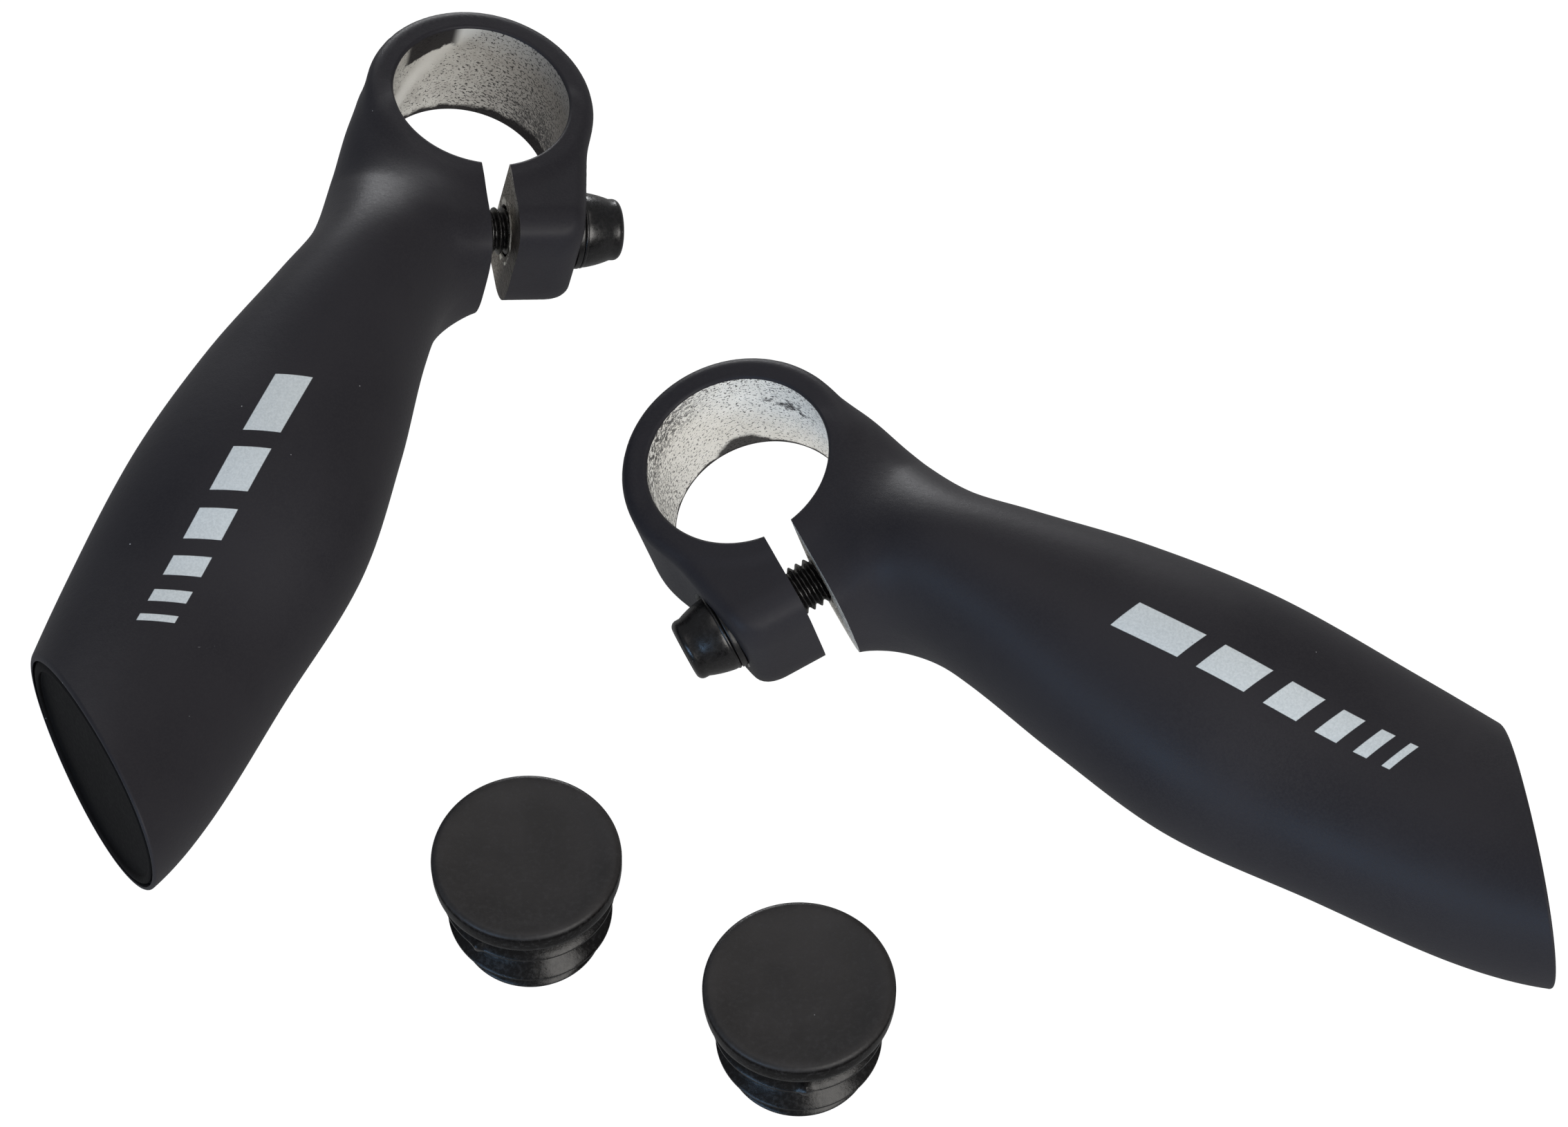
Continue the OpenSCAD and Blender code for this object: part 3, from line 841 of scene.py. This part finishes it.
class Shade:
    """A node material. loc is the point in millimetres; pattern is loc moved by
    shift, so that the two sides don't look alike."""

    def __init__(self, name, shift=None):
        self.mat = bpy.data.materials.new(name)
        self.mat.use_nodes = True
        self.tree = self.mat.node_tree
        self.tree.nodes.clear()
        self.surface = self.tree.nodes.new("ShaderNodeOutputMaterial").inputs["Surface"]
        self.bsdf = self.tree.nodes.new("ShaderNodeBsdfPrincipled")
        self.put(self.surface, self.bsdf.outputs[0])
        if shift is not None:
            self.loc = self.node("ShaderNodeAttribute", attribute_name="loc").outputs["Vector"]
            self.pattern = self.vec("ADD", self.loc, shift)

    def put(self, socket, value):
        if isinstance(value, Value):
            value = value.socket
        if isinstance(value, bpy.types.NodeSocket):
            self.tree.links.new(value, socket)
        elif socket.type == "RGBA" and len(value) == 3:
            socket.default_value = (*value, 1.0)
        else:
            socket.default_value = value

    def node(self, kind, inputs=None, **props):
        node = self.tree.nodes.new(kind)
        for key, value in props.items():
            setattr(node, key, value)
        for key, value in (inputs or {}).items():
            self.put(node.inputs[key], value)
        return node

    def math(self, op, a, b=0.0, c=None):
        node = self.node("ShaderNodeMath", {0: a, 1: b}, operation=op)
        if c is not None:
            self.put(node.inputs[2], c)
        return Value(self, node.outputs[0])

    def most(self, first, *rest):
        for other in rest:
            first = self.math("MAXIMUM", first, other)
        return first

    def hypot(self, a, b):
        return self.math("SQRT", a ** 2.0 + b ** 2.0)

    def vec(self, op, a, b=(0.0, 0.0, 0.0), out="Vector"):
        return self.node("ShaderNodeVectorMath", {0: a, 1: b}, operation=op).outputs[out]

    def dot(self, a, b):
        return Value(self, self.vec("DOT_PRODUCT", a, b, "Value"))

    def scaled(self, vector, factor):
        return self.node("ShaderNodeVectorMath", {0: vector, "Scale": factor},
                         operation="SCALE").outputs["Vector"]

    def split(self, vector):
        outputs = self.node("ShaderNodeSeparateXYZ", {0: vector}).outputs
        return [Value(self, socket) for socket in outputs]

    def join(self, x, y, z):
        return self.node("ShaderNodeCombineXYZ", {0: x, 1: y, 2: z}).outputs[0]

    def noise(self, scale, detail=3.0, rough=0.6, at=None, out="Fac"):
        node = self.node("ShaderNodeTexNoise", {"Vector": self.pattern if at is None else at,
                                                "Scale": scale, "Detail": detail,
                                                "Roughness": rough})
        return Value(self, node.outputs[out])

    def ramp(self, value, over, to=(0.0, 1.0)):
        """Eases from to[0] to to[1] while value goes from over[0] to over[1]."""
        node = self.node("ShaderNodeMapRange",
                         {"Value": value, "From Min": over[0], "From Max": over[1],
                          "To Min": to[0], "To Max": to[1]}, interpolation_type="SMOOTHSTEP")
        return Value(self, node.outputs[0])

    def band(self, value, start, end, soft):
        return (self.ramp(value, over=(start - soft, start + soft))
                * self.ramp(value, over=(end - soft, end + soft), to=(1.0, 0.0)))

    def mix(self, factor, a, b):
        node = self.node("ShaderNodeMix", data_type="RGBA")
        for index, value in ((0, factor), (6, a), (7, b)):
            self.put(node.inputs[index], value)
        return node.outputs[2]

    def bumps(self, *layers):
        """Bumps one on another, each (height, depth in millimetres)."""
        normal = None
        for height, depth in layers:
            node = self.node("ShaderNodeBump", {"Height": height, "Distance": depth * MM,
                                                "Strength": 1.0})
            if normal is not None:
                self.put(node.inputs["Normal"], normal)
            normal = node.outputs[0]
        return normal

    def near_line(self, start, end, width, at):
        """1 close to the straight line from start to end, 0 away from it."""
        along = [end[i] - start[i] for i in range(3)]
        offset = self.vec("SUBTRACT", at, start)
        t = self.dot(offset, along) * (1.0 / sum(c * c for c in along))
        t = self.math("MAXIMUM", self.math("MINIMUM", t, 1.0), 0.0)
        away = self.vec("SUBTRACT", offset, self.scaled(along, t))
        away = self.vec("LENGTH", away, out="Value")
        return self.ramp(away, over=(width * 0.4, width), to=(1.0, 0.0))

    def dust(self, scale, radius, share):
        """Few, small specks."""
        cell = self.node("ShaderNodeTexVoronoi", {"Vector": self.pattern, "Scale": scale}).outputs
        pick = self.math("GREATER_THAN", self.split(cell["Color"])[0], 1.0 - share)
        size = self.math("MULTIPLY_ADD", self.split(cell["Color"])[1], radius * 0.8, radius * 0.4)
        return pick * self.math("LESS_THAN", Value(self, cell["Distance"]) * (1.0 / scale), size)

    def wobbled(self, scale, amount):
        """loc, shaken a little so that lines across it aren't ruler-straight."""
        color = self.noise(scale, detail=2.0, rough=0.5, out="Color")
        shake = self.scaled(self.vec("SUBTRACT", color, (0.5, 0.5, 0.5)), amount)
        return self.vec("ADD", self.loc, shake)

    def done(self, color, rough, metal, normal, specular=0.5):
        for key, value in (("Base Color", color), ("Roughness", rough), ("Metallic", metal),
                           ("Normal", normal), ("Specular IOR Level", specular)):
            self.put(self.bsdf.inputs[key], value)
        return self.mat


MIDDLE = (0.3, 0.7)                 # the part of a noise's range that most ramps spread
BARS = ((52.0, 8.6), (63.0, 6.0), (71.4, 4.1), (77.8, 2.7), (82.6, 1.7), (86.2, 1.0))  # x, length


def print_mask(mat):
    """A row of slanted bars that get shorter along the grip's top side."""
    x, y, z = mat.split(mat.loc)
    slanted = x - y * 0.38
    bars = mat.most(*[mat.band(slanted, start, start + length, soft=0.05)
                      for start, length in BARS])
    side = mat.band(y, -0.8, 3.3, soft=0.05) * mat.ramp(z, over=(-7.2, -7.0))
    worn = mat.ramp(mat.noise(scale=2.6, detail=4.0, rough=0.7), over=(0.24, 0.30))
    return bars * side * worn


def paint(name, shift, hairlines):
    """Matt black powder coat with the printed graphic, dust and hairlines."""
    mat = Shade(name, shift)
    cloud = mat.noise(scale=0.06, rough=0.55)
    grain = mat.noise(scale=3.4, rough=0.65)
    fine = mat.noise(scale=8.0, detail=2.0)
    peel = mat.noise(scale=0.9, detail=2.0, rough=0.5)
    mask = print_mask(mat)
    shaken = mat.wobbled(scale=0.5, amount=1.2)
    hair = mat.most(*[mat.near_line(start, end, width, shaken)
                      for start, end, width in hairlines])
    hair = hair * mat.ramp(mat.noise(scale=1.6), over=(0.38, 0.56))
    dust = mat.dust(scale=0.30, radius=0.075, share=0.30)
    color = mat.mix(mat.ramp(cloud, over=MIDDLE), (0.0188, 0.0179, 0.0220),
                    (0.0231, 0.0219, 0.0263))
    color = mat.mix(mat.ramp(grain, over=(0.35, 0.70), to=(0.0, 0.55)), color,
                    (0.0265, 0.0255, 0.0290))
    color = mat.mix(hair * 0.5, color, (0.20, 0.20, 0.21))
    ink = mat.mix(mat.ramp(grain, over=MIDDLE), (0.55, 0.60, 0.62), (0.66, 0.71, 0.73))
    color = mat.mix(mask, color, ink)
    color = mat.mix(dust * 0.75, color, (0.55, 0.56, 0.58))
    rough = (mat.ramp(cloud, over=(0.25, 0.75), to=(0.42, 0.49))
             + mat.ramp(grain, over=MIDDLE, to=(-0.03, 0.05)))
    normal = mat.bumps((peel, 0.020), (grain, 0.016), (fine, 0.006), (mask, 0.02))
    return mat.done(color, rough, metal=0.0, normal=normal, specular=0.17)


# How each bore is worn, by the angle around it and z. The masks returned:
# speckled: how densely dark strokes lie;  mottled: blotchy area
# cover: paint overspray;  streak: brighter stripe;  painted shade (the last mask): a shift towards
# the darker shaded colour around one side of the bore
def right_bore_wear(mat, angle, z, flat, edge):
    speckled = mat.most(mat.ramp(angle, over=(0.1, 1.3)) * 0.75,
                        mat.ramp(z, over=(2.0, 7.5), to=(0.0, 0.4)))
    mottled = mat.ramp(angle, over=(-0.25, 0.55)) * mat.ramp(z, over=(1.6, 5.2))
    bow = ((angle + 0.22) * 2.3) ** 2.0
    patch = mat.ramp(z + (bow * 3.4 + edge * 1.4), over=(-4.2, -5.2), to=(0.0, 0.97))
    oval = ((angle + 0.96) * 3.1) ** 2.0 + ((z - 2.4) * 0.62) ** 2.0
    ragged = oval + (mat.noise(scale=0.55, detail=4.0, rough=0.7, at=flat) - 0.5) * 7.0
    smudge = (mat.ramp(ragged, over=(0.75, 0.15))
              * mat.ramp(mat.noise(scale=1.9, rough=0.7, at=flat), over=(0.40, 0.56),
                         to=(0.35, 1.0)))
    low = mat.ramp(z + edge * 1.0, over=(-6.9, -7.2))
    streak = mat.band(angle * 9.0 + z, 14.0, 17.0, soft=1.0)
    # painted shade: darker towards one side of the bore
    side_shade = mat.ramp(angle, over=(-1.6, 1.6), to=(0.0, 0.5))
    return speckled, mottled, mat.most(patch, smudge, low), streak, side_shade


def left_bore_wear(mat, angle, z, flat, edge):
    speckled = (mat.ramp(angle, over=(-0.5, 1.4), to=(0.15, 1.0))
                * mat.ramp(z, over=(7.0, -7.0), to=(0.4, 1.0)))
    mottled = mat.ramp(angle, over=(0.55, 1.25)) * mat.ramp(z, over=(0.5, -4.5))
    slope = edge * 2.2 + (-0.1 - angle) * -1.6
    patch = mat.band(angle, -0.80, -0.10, soft=0.07) * mat.ramp(z - slope, over=(3.6, 4.0))
    sag = mat.ramp(angle, over=(-0.35, 1.65), to=(0.0, -1.4))
    smudge = mat.ramp(z + (edge * 2.0 + sag), over=(-5.7, -6.5))
    streak = mat.band(z - (angle + 0.62) * 13.0, -2.2, 2.6, soft=2.0)
    # painted shade: darker towards one side of the bore
    side_shade = mat.ramp(angle, over=(-0.6, 1.6), to=(0.05, 1.0))
    return speckled, mottled, mat.most(patch, smudge, 0.0), streak, side_shade


# wear, then the metal's two main colours, its colour under painted shade and its streak's. For one
# and the same metal, the right bore's colours are painted brighter (painted light) and the left's
# darker (painted shade)
BORE_LOOK = {
    "right": (right_bore_wear, (0.84, 0.825, 0.775), (0.94, 0.925, 0.88),
              (0.50, 0.485, 0.455), (0.86, 0.85, 0.81)),
    "left": (left_bore_wear, (0.42, 0.405, 0.37), (0.54, 0.53, 0.49),
             (0.22, 0.207, 0.19), (0.66, 0.65, 0.61)),
}


def bore(name, shift, side):
    """Bare machined bore: pale metal with dark specks and paint overspray, and painted shade that
    darkens it towards one side.
    """
    wear, metal_a, metal_b, metal_shaded, metal_streak = BORE_LOOK[side]
    mat = Shade(name, shift)
    z = mat.split(mat.loc)[2]
    # angle from the side opposite the slit, so that its seam falls in the slit
    cos, sin = math.cos(SLIT_ANGLE + math.pi), math.sin(SLIT_ANGLE + math.pi)
    angle = mat.math("ARCTAN2", mat.dot(mat.loc, (-sin, cos, 0.0)),
                     mat.dot(mat.loc, (cos, sin, 0.0)))

    def unrolled(stretch, across, layer=0.0):
        return mat.vec("ADD", mat.join(angle * (BORE_R * stretch), across, layer), shift)

    flat = unrolled(1.0, z)
    strokes = mat.noise(scale=1.0, detail=2.0, rough=0.55,
                        at=unrolled(2.3, (z + angle * 1.5) * 3.6))
    ticks = mat.noise(scale=1.0, detail=2.0, at=unrolled(3.6, z * 2.4, layer=3.0))
    small = mat.noise(scale=8.0, detail=2.0, at=flat)
    edge = mat.noise(scale=0.5, at=flat)
    speckled, mottled, cover, streak, side_shade = wear(mat, angle, z, flat, edge)
    cutoff = mat.ramp(speckled, over=(0.0, 1.0), to=(0.610, 0.530)) + streak * 0.14
    blotches = mat.noise(scale=1.5, detail=4.0, rough=0.75, at=flat)
    dark = mat.most(mat.ramp(strokes - cutoff, over=(0.0, 0.014)),
                    mat.ramp(ticks - (cutoff + 0.03), over=(0.0, 0.014)),
                    mottled * mat.ramp(blotches, over=(0.48, 0.53)))
    color = mat.mix(mat.ramp(edge, over=MIDDLE), metal_a, metal_b)
    # painted shade: darker towards one side of the bore
    color = mat.mix(side_shade, color, metal_shaded)
    color = mat.mix(streak * 0.8, color, metal_streak)
    color = mat.mix(dark * 0.95, color, (0.020, 0.018, 0.018))
    color = mat.mix(cover * 0.97, color, (0.013, 0.011, 0.012))
    return mat.done(color, rough=mat.ramp(small, over=MIDDLE, to=(0.42, 0.58)),
                    metal=0.12 - mat.most(dark, cover) * 0.12,
                    normal=mat.bumps((strokes, 0.05), (small, 0.015), (cover, 0.04)),
                    specular=0.5 - cover * 0.4)


def slit(name, shift):
    """Sawn slit face: specked metal by the bore, filed and burred outside. The neck side and the
    burr ring are bare metal painted near white, partly their own colour and partly painted light.
    """
    mat = Shade(name, shift)
    x = mat.dot(mat.loc, (SLIT_COS, SLIT_SIN, 0.0))
    y = mat.dot(mat.loc, (-SLIT_SIN, SLIT_COS, 0.0))
    z = mat.split(mat.loc)[2]
    marks = mat.noise(scale=1.6, detail=4.0, rough=0.7, at=mat.join(x * 0.16, 0.0, z * 1.5))
    speck = mat.noise(scale=4.0, detail=2.5)
    outer = mat.ramp(x, over=(BOLT_REACH + 1.0, BOLT_REACH + 4.0))
    ragged = mat.hypot(x - BOLT_REACH, z) + mat.noise(scale=0.9) * 1.6
    # the burr ring is real bare metal, also painted near white as a painted glint
    burr_and_glint = mat.band(ragged, 4.0, 4.9, soft=0.2) * mat.ramp(mat.noise(scale=0.6), over=(0.42, 0.50))
    # painted light: the neck side of the slit is bare metal, painted near white to stand in for
    # light that barely reaches into the slit
    neck = mat.ramp(y, over=(-0.5, 0.5)) * mat.ramp(speck, over=(0.62, 0.52))
    warm = mat.mix(mat.ramp(mat.noise(scale=0.35, rough=0.5), over=(0.35, 0.65)),
                   (0.22, 0.198, 0.17), (0.36, 0.33, 0.29))
    by_bore = mat.mix(mat.ramp(speck, over=(0.50, 0.60)), warm, (0.05, 0.045, 0.04))
    filed = mat.mix(mat.ramp(marks, over=(0.42, 0.60)), (0.060, 0.050, 0.043),
                    (0.010, 0.008, 0.008))
    color = mat.mix(outer, by_bore, filed)
    color = mat.mix(neck * 0.9, color, (0.66, 0.65, 0.60))
    # real burr colour with a painted glint
    color = mat.mix(burr_and_glint, color, (0.80, 0.79, 0.74))
    return mat.done(color, rough=mat.ramp(speck, over=MIDDLE, to=(0.34, 0.5)),
                    metal=0.5 - mat.most(neck, outer) * 0.42,
                    normal=mat.bumps((marks, 0.16), (speck, 0.05), (burr_and_glint, 0.25)))


def turned(name, shift, color):
    """Machined metal with tool marks."""
    mat = Shade(name, shift)
    x, y, z = mat.split(mat.loc)
    rings = mat.noise(scale=5.0, detail=2.0, rough=0.5,
                      at=mat.join(mat.hypot(x, y) * 2.0, x * 0.05, z * 2.0))
    color = mat.mix(mat.ramp(mat.noise(scale=1.4), over=(0.4, 0.65)), color,
                    tuple(v * 0.45 for v in color))
    return mat.done(color, rough=mat.ramp(rings, over=MIDDLE, to=(0.30, 0.48)), metal=0.9,
                    normal=mat.bumps((rings, 0.05)))


def hollow(name, shift):
    mat = Shade(name, shift)
    grain = mat.noise(scale=1.1, detail=4.0)
    color = mat.mix(mat.ramp(grain, over=(0.35, 0.65)), (0.10, 0.10, 0.10), (0.045, 0.045, 0.047))
    return mat.done(color, rough=mat.ramp(grain, over=MIDDLE, to=(0.5, 0.7)), metal=0.4,
                    normal=mat.bumps((grain, 0.10)))


def black_steel(name, shift, rough):
    """Glossy black-oxide steel with light handling marks."""
    mat = Shade(name, shift)
    grain = mat.noise(scale=2.2, detail=4.0)
    fine = mat.noise(scale=9.0, detail=2.0)
    rub = mat.ramp(mat.noise(scale=0.8, detail=4.0, rough=0.7), over=(0.60, 0.72)) * 0.6
    color = mat.mix(mat.ramp(grain, over=(0.35, 0.7)), (0.0030, 0.0027, 0.0030),
                    (0.0065, 0.0058, 0.0062))
    color = mat.mix(rub, color, (0.020, 0.019, 0.021))
    color = mat.mix(mat.dust(scale=0.8, radius=0.07, share=0.25) * 0.7, color, (0.5, 0.5, 0.52))
    return mat.done(color, rough=mat.ramp(grain, over=MIDDLE, to=(rough, rough + 0.10)),
                    metal=0.0, normal=mat.bumps((grain, 0.020), (fine, 0.004)), specular=0.60)


def plastic(name, shift, rough, depth, base, specular, face=None):
    """Moulded black plastic. base is its brightness and depth its grain's.
    Above face (mm up its own axis), and in the dish below it, it is painted paler: painted light on
    the top that faces the lamps. Below it, the side walls and fins are painted darker: painted
    shade."""
    mat = Shade(name, shift)
    leather = mat.noise(scale=1.9)
    fine = mat.noise(scale=6.0, detail=2.0)
    cloud = mat.noise(scale=0.16, rough=0.5)

    def tint(*shares):
        return tuple(base * share for share in shares)

    if face is None:
        top = 1.0
        color_a, color_b = tint(1.0, 0.94, 0.95), tint(1.35, 1.26, 1.26)
    else:
        x, y, z = mat.split(mat.loc)
        dish = (mat.ramp(mat.hypot(x, y), over=(9.6, 9.9), to=(1.0, 0.0))
                * mat.ramp(z, over=(face - 1.75, face - 1.25)))
        top = mat.most(mat.ramp(z, over=(face - 0.25, face + 0.1)), dish)
        # painted light and shade: full colour on the top and in the dish, the side walls and fins
        # painted about five times darker
        color_a = mat.mix(top, tint(0.20, 0.18, 0.18), tint(1.0, 0.95, 0.95))
        color_b = mat.mix(top, tint(0.26, 0.24, 0.24), tint(1.3, 1.22, 1.22))
        specular = (mat.ramp(top, over=(0.0, 1.0), to=(specular * 0.25, specular))
                    + mat.ramp(z, over=(13.2, 13.8), to=(0.24, 0.0)))
    color = mat.mix(mat.ramp(cloud, over=MIDDLE), color_a, color_b)
    color = mat.mix(mat.ramp(leather, over=(0.45, 0.75), to=(0.0, 0.30)), color,
                    tint(1.9, 1.85, 1.9))
    color = mat.mix(mat.dust(scale=0.5, radius=0.09, share=0.22) * 0.6, color, (0.40, 0.41, 0.43))
    rough = (mat.ramp(leather, over=MIDDLE, to=(rough - 0.03, rough + 0.07))
             + mat.math("MULTIPLY", top, 0.14))
    return mat.done(color, rough, metal=0.0, specular=specular,
                    normal=mat.bumps((leather, depth), (fine, depth * 0.35)))


# --------------------------------------------------------------------- assembly
MOUNTS = {m["name"]: m for m in frame["record"]["mounts"]}
JOINTS = {j["name"]: j for j in frame["joints"]}


class Place:
    """Puts one bar end's local millimetres into the shared frame."""

    def __init__(self, side):
        mount, hinge = MOUNTS[side + "_clamp"], JOINTS[side + "_bolt_turn"]
        self.origin = np.array(mount["pos_m"], float)
        self.seat = np.array(hinge["pos_m"], float)
        bar = np.array(mount["axis"], float)
        bolt = np.array(hinge["axis"], float)
        bar /= np.linalg.norm(bar)
        bolt -= bar * (bar @ bolt)
        bolt /= np.linalg.norm(bolt)
        out = np.cross(bar, bolt) if side == "right" else np.cross(bolt, bar)
        self.axes = np.stack([SLIT_COS * out + SLIT_SIN * bolt,
                              SLIT_SIN * out - SLIT_COS * bolt, bar])
        self.bolt_axes = np.stack([bar, np.cross(bolt, bar), bolt])
        self.flip = side == "left"

    def points(self, points):
        return self.origin + MM * (points @ self.axes)

    def bolt_points(self, points, lift=0.0):
        return self.seat + self.bolt_axes[2] * lift * MM + MM * (points @ self.bolt_axes)


def build_piece(name, body, node, world, piece, mats, finish=None, flip=False,
                normals=None, outside=None):
    """A finished mesh piece: finish is the material index of each face. The
    materials read the millimetre coordinates in the attribute loc."""
    faces = [f[::-1] for f in piece.faces] if flip else piece.faces
    if finish is None:
        finish = np.zeros(len(faces))
    mesh = new_mesh(name, world, faces)
    for mat in mats:
        mesh.materials.append(mat)
    mesh.polygons.foreach_set("material_index", np.asarray(finish, np.int32))
    mesh.polygons.foreach_set("use_smooth", np.ones(len(faces), bool))
    loc = mesh.attributes.new("loc", "FLOAT_VECTOR", "POINT")
    loc.data.foreach_set("vector", np.asarray(piece.points, np.float32).ravel())
    mesh.set_sharp_from_angle(angle=math.radians(34.0))
    if normals is not None:
        mesh.normals_split_custom_set([tuple(normals[i]) if is_outside else (0.0, 0.0, 0.0)
                                       for f, is_outside in zip(faces, outside) for i in f])
    obj = new_object(name, mesh)
    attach(obj, body)
    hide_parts(node)


# start, end, width
HAIRLINES = {
    "right": [((57.0, -9.0, 1.0), (60.5, -8.2, 1.5), 0.10),
              ((70.0, -11.0, -2.0), (73.5, -10.4, -2.0), 0.09),
              ((30.0, 5.0, 10.0), (33.0, 5.6, 9.6), 0.09)],
    "left": [((78.0, -12.0, -2.0), (88.0, -5.0, 1.0), 0.10),
             ((88.0, -4.6, 1.0), (93.0, -2.0, 0.5), 0.08),
             ((20.0, -2.0, 11.0), (22.4, -1.2, 11.4), 0.10)],
}
SHIFT = {"right": (0.0, 0.0, 0.0), "left": (137.0, 61.0, 29.0)}     # of the patterns
PLUGS = {"right": (3, -86.0), "left": (8, -125.0)}      # seed, the lump's angle in degrees

casting = build_body()
casting_finish, casting_normals, casting_outside = body_finish(casting)
cap = build_cap()
screw = build_bolt()
washer = build_washer()
# slots of the screw: 0 head, 1 thread, 2 socket
screw_r, screw_z = np.hypot(screw.centres[:, 0], screw.centres[:, 1]), screw.centres[:, 2]
in_socket = (screw_r < 2.95) & (screw_z > 2.15) & (screw_z < 5.19)
screw_finish = np.where(screw_z < -0.005, 1, np.where(in_socket, 2, 0))

for side in ("right", "left"):
    place = Place(side)
    shift = SHIFT[side]
    bar_end, bolt_node, washer_node = side + "_bar_end", side + "_clamp_bolt", side + "_bolt_washer"

    mats = [paint(side + "_matt_paint", shift, HAIRLINES[side]),
            bore(side + "_bare_bore", shift, side),
            slit(side + "_sawn_slit", shift),
            turned(side + "_spot_face", shift, color=(0.72, 0.71, 0.68)),
            turned(side + "_bolt_hole", shift, color=(0.30, 0.29, 0.28)),
            hollow(side + "_hollow_inside", shift)]
    build_piece(side + "_bar_end_casting", bar_end, bar_end,
                place.points(casting.points), casting, mats, casting_finish, place.flip,
                casting_normals @ place.axes, casting_outside)

    mats = [plastic(side + "_cap_plastic", shift, rough=0.46, depth=0.014, base=0.006,
                    specular=0.05)]
    build_piece(side + "_end_cap_moulding", bar_end, side + "_end_cap",
                place.points(cap.points), cap, mats, flip=place.flip)

    mats = [black_steel(side + "_bolt_black", shift, rough=0.23),
            black_steel(side + "_thread_black", shift, rough=0.24),
            black_steel(side + "_socket_black", shift, rough=0.34)]
    build_piece(side + "_socket_head_screw", bolt_node, bolt_node,
                place.bolt_points(screw.points, lift=WASHER_T), screw, mats, screw_finish)

    build_piece(side + "_washer_ring", washer_node, washer_node,
                place.bolt_points(washer.points), washer,
                [black_steel(side + "_washer_black", shift, rough=0.28)])

    node = side + "_handlebar_plug"
    low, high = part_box(node)
    seed, lump_degrees = PLUGS[side]
    plug = build_plug(seed, math.radians(lump_degrees))
    middle = np.array([(low[0] + high[0]) / 2, (low[1] + high[1]) / 2, 0.0])
    mats = [plastic(side + "_plug_plastic", (shift[0] + 40.0, shift[1], shift[2]), rough=0.24,
                    depth=0.022, base=0.0238, specular=0.22, face=16.75)]
    build_piece(node + "_moulding", node, node, middle + MM * plug.points, plug,
                mats)

# ----------------------------------------------- floor, light and camera, in metres
scene = bpy.context.scene
FLOOR_SHINE, FLOOR_FILL = 0.22, 1.5     # what mirrored and scattered light see of the floor
FLOOR_HALF = 3.0


def white_floor():
    """Paper that glows pure white to the camera."""
    mat = Shade("white_floor")
    ray = mat.node("ShaderNodeLightPath").outputs
    strength = mat.most(ray["Is Camera Ray"], Value(mat, ray["Is Diffuse Ray"]) * FLOOR_FILL,
                        FLOOR_SHINE)
    glow = mat.node("ShaderNodeEmission", {"Color": (1.0, 1.0, 1.0, 1.0), "Strength": strength})
    fibre = mat.noise(scale=400.0, at=mat.node("ShaderNodeTexCoord").outputs["Object"])
    mat.done(color=(0.12, 0.12, 0.12), rough=0.9, metal=0.0, normal=mat.bumps((fibre, 0.1)),
             specular=0.0)
    both = mat.node("ShaderNodeAddShader")
    mat.tree.links.new(mat.bsdf.outputs[0], both.inputs[0])
    mat.tree.links.new(glow.outputs[0], both.inputs[1])
    mat.tree.links.new(both.outputs[0], mat.surface)
    return mat.mat


floor_corners = [(x * FLOOR_HALF, y * FLOOR_HALF, 0.0)
                 for x, y in ((-1, -1), (1, -1), (1, 1), (-1, 1))]
floor = new_object("floor", new_mesh("floor", floor_corners, [(0, 1, 2, 3)]))
floor.location.z = -0.0002
floor.data.materials.append(white_floor())

world = bpy.data.worlds.new("studio")
scene.world = world
world.use_nodes = True
background = world.node_tree.nodes["Background"].inputs
background["Color"].default_value = (0.95, 0.97, 1.0, 1.0)
background["Strength"].default_value = 0.22


def aim(obj, where, at):
    obj.location = where
    obj.rotation_euler = (Vector(at) - obj.location).to_track_quat("-Z", "Y").to_euler()


# name, place, what it faces, width, height, watts, colour
SOFTBOXES = (
    ("overhead_box", (0.0, 0.10, 0.95), (0.0, 0.0, 0.0), 0.9, 0.7, 1.7, (1.0, 0.94, 0.91)),
    ("back_box", (-0.10, 0.86, 0.08), (0.0, 0.0, 0.02), 0.50, 0.13, 3.7, (0.97, 0.98, 1.0)),
    ("front_left_box", (-0.50, -0.62, 0.26), (0.03, -0.02, 0.01), 0.5, 0.22, 2.0,
     (0.38, 0.64, 1.0)),
    ("front_right_box", (0.40, -0.55, 0.50), (0.0, 0.0, 0.0), 0.5, 0.5, 4.3, (1.0, 0.97, 0.93)),
)
for name, where, at, width, height, power, color in SOFTBOXES:
    light = bpy.data.lights.new(name, "AREA")
    light.shape = "RECTANGLE"
    light.size, light.size_y = width, height
    light.energy = power
    light.color = color
    softbox = new_object(name, light)
    aim(softbox, where, at)

camera = bpy.data.cameras.new("camera")
camera.sensor_width = 36.0
camera.lens = 119.05
camera_object = new_object("camera", camera)
aim(camera_object, where=(0.0007, -0.3390, 0.5298), at=(0.0007, 0.0032, 0.0))
scene.camera = camera_object
scene.view_settings.view_transform = "Standard"
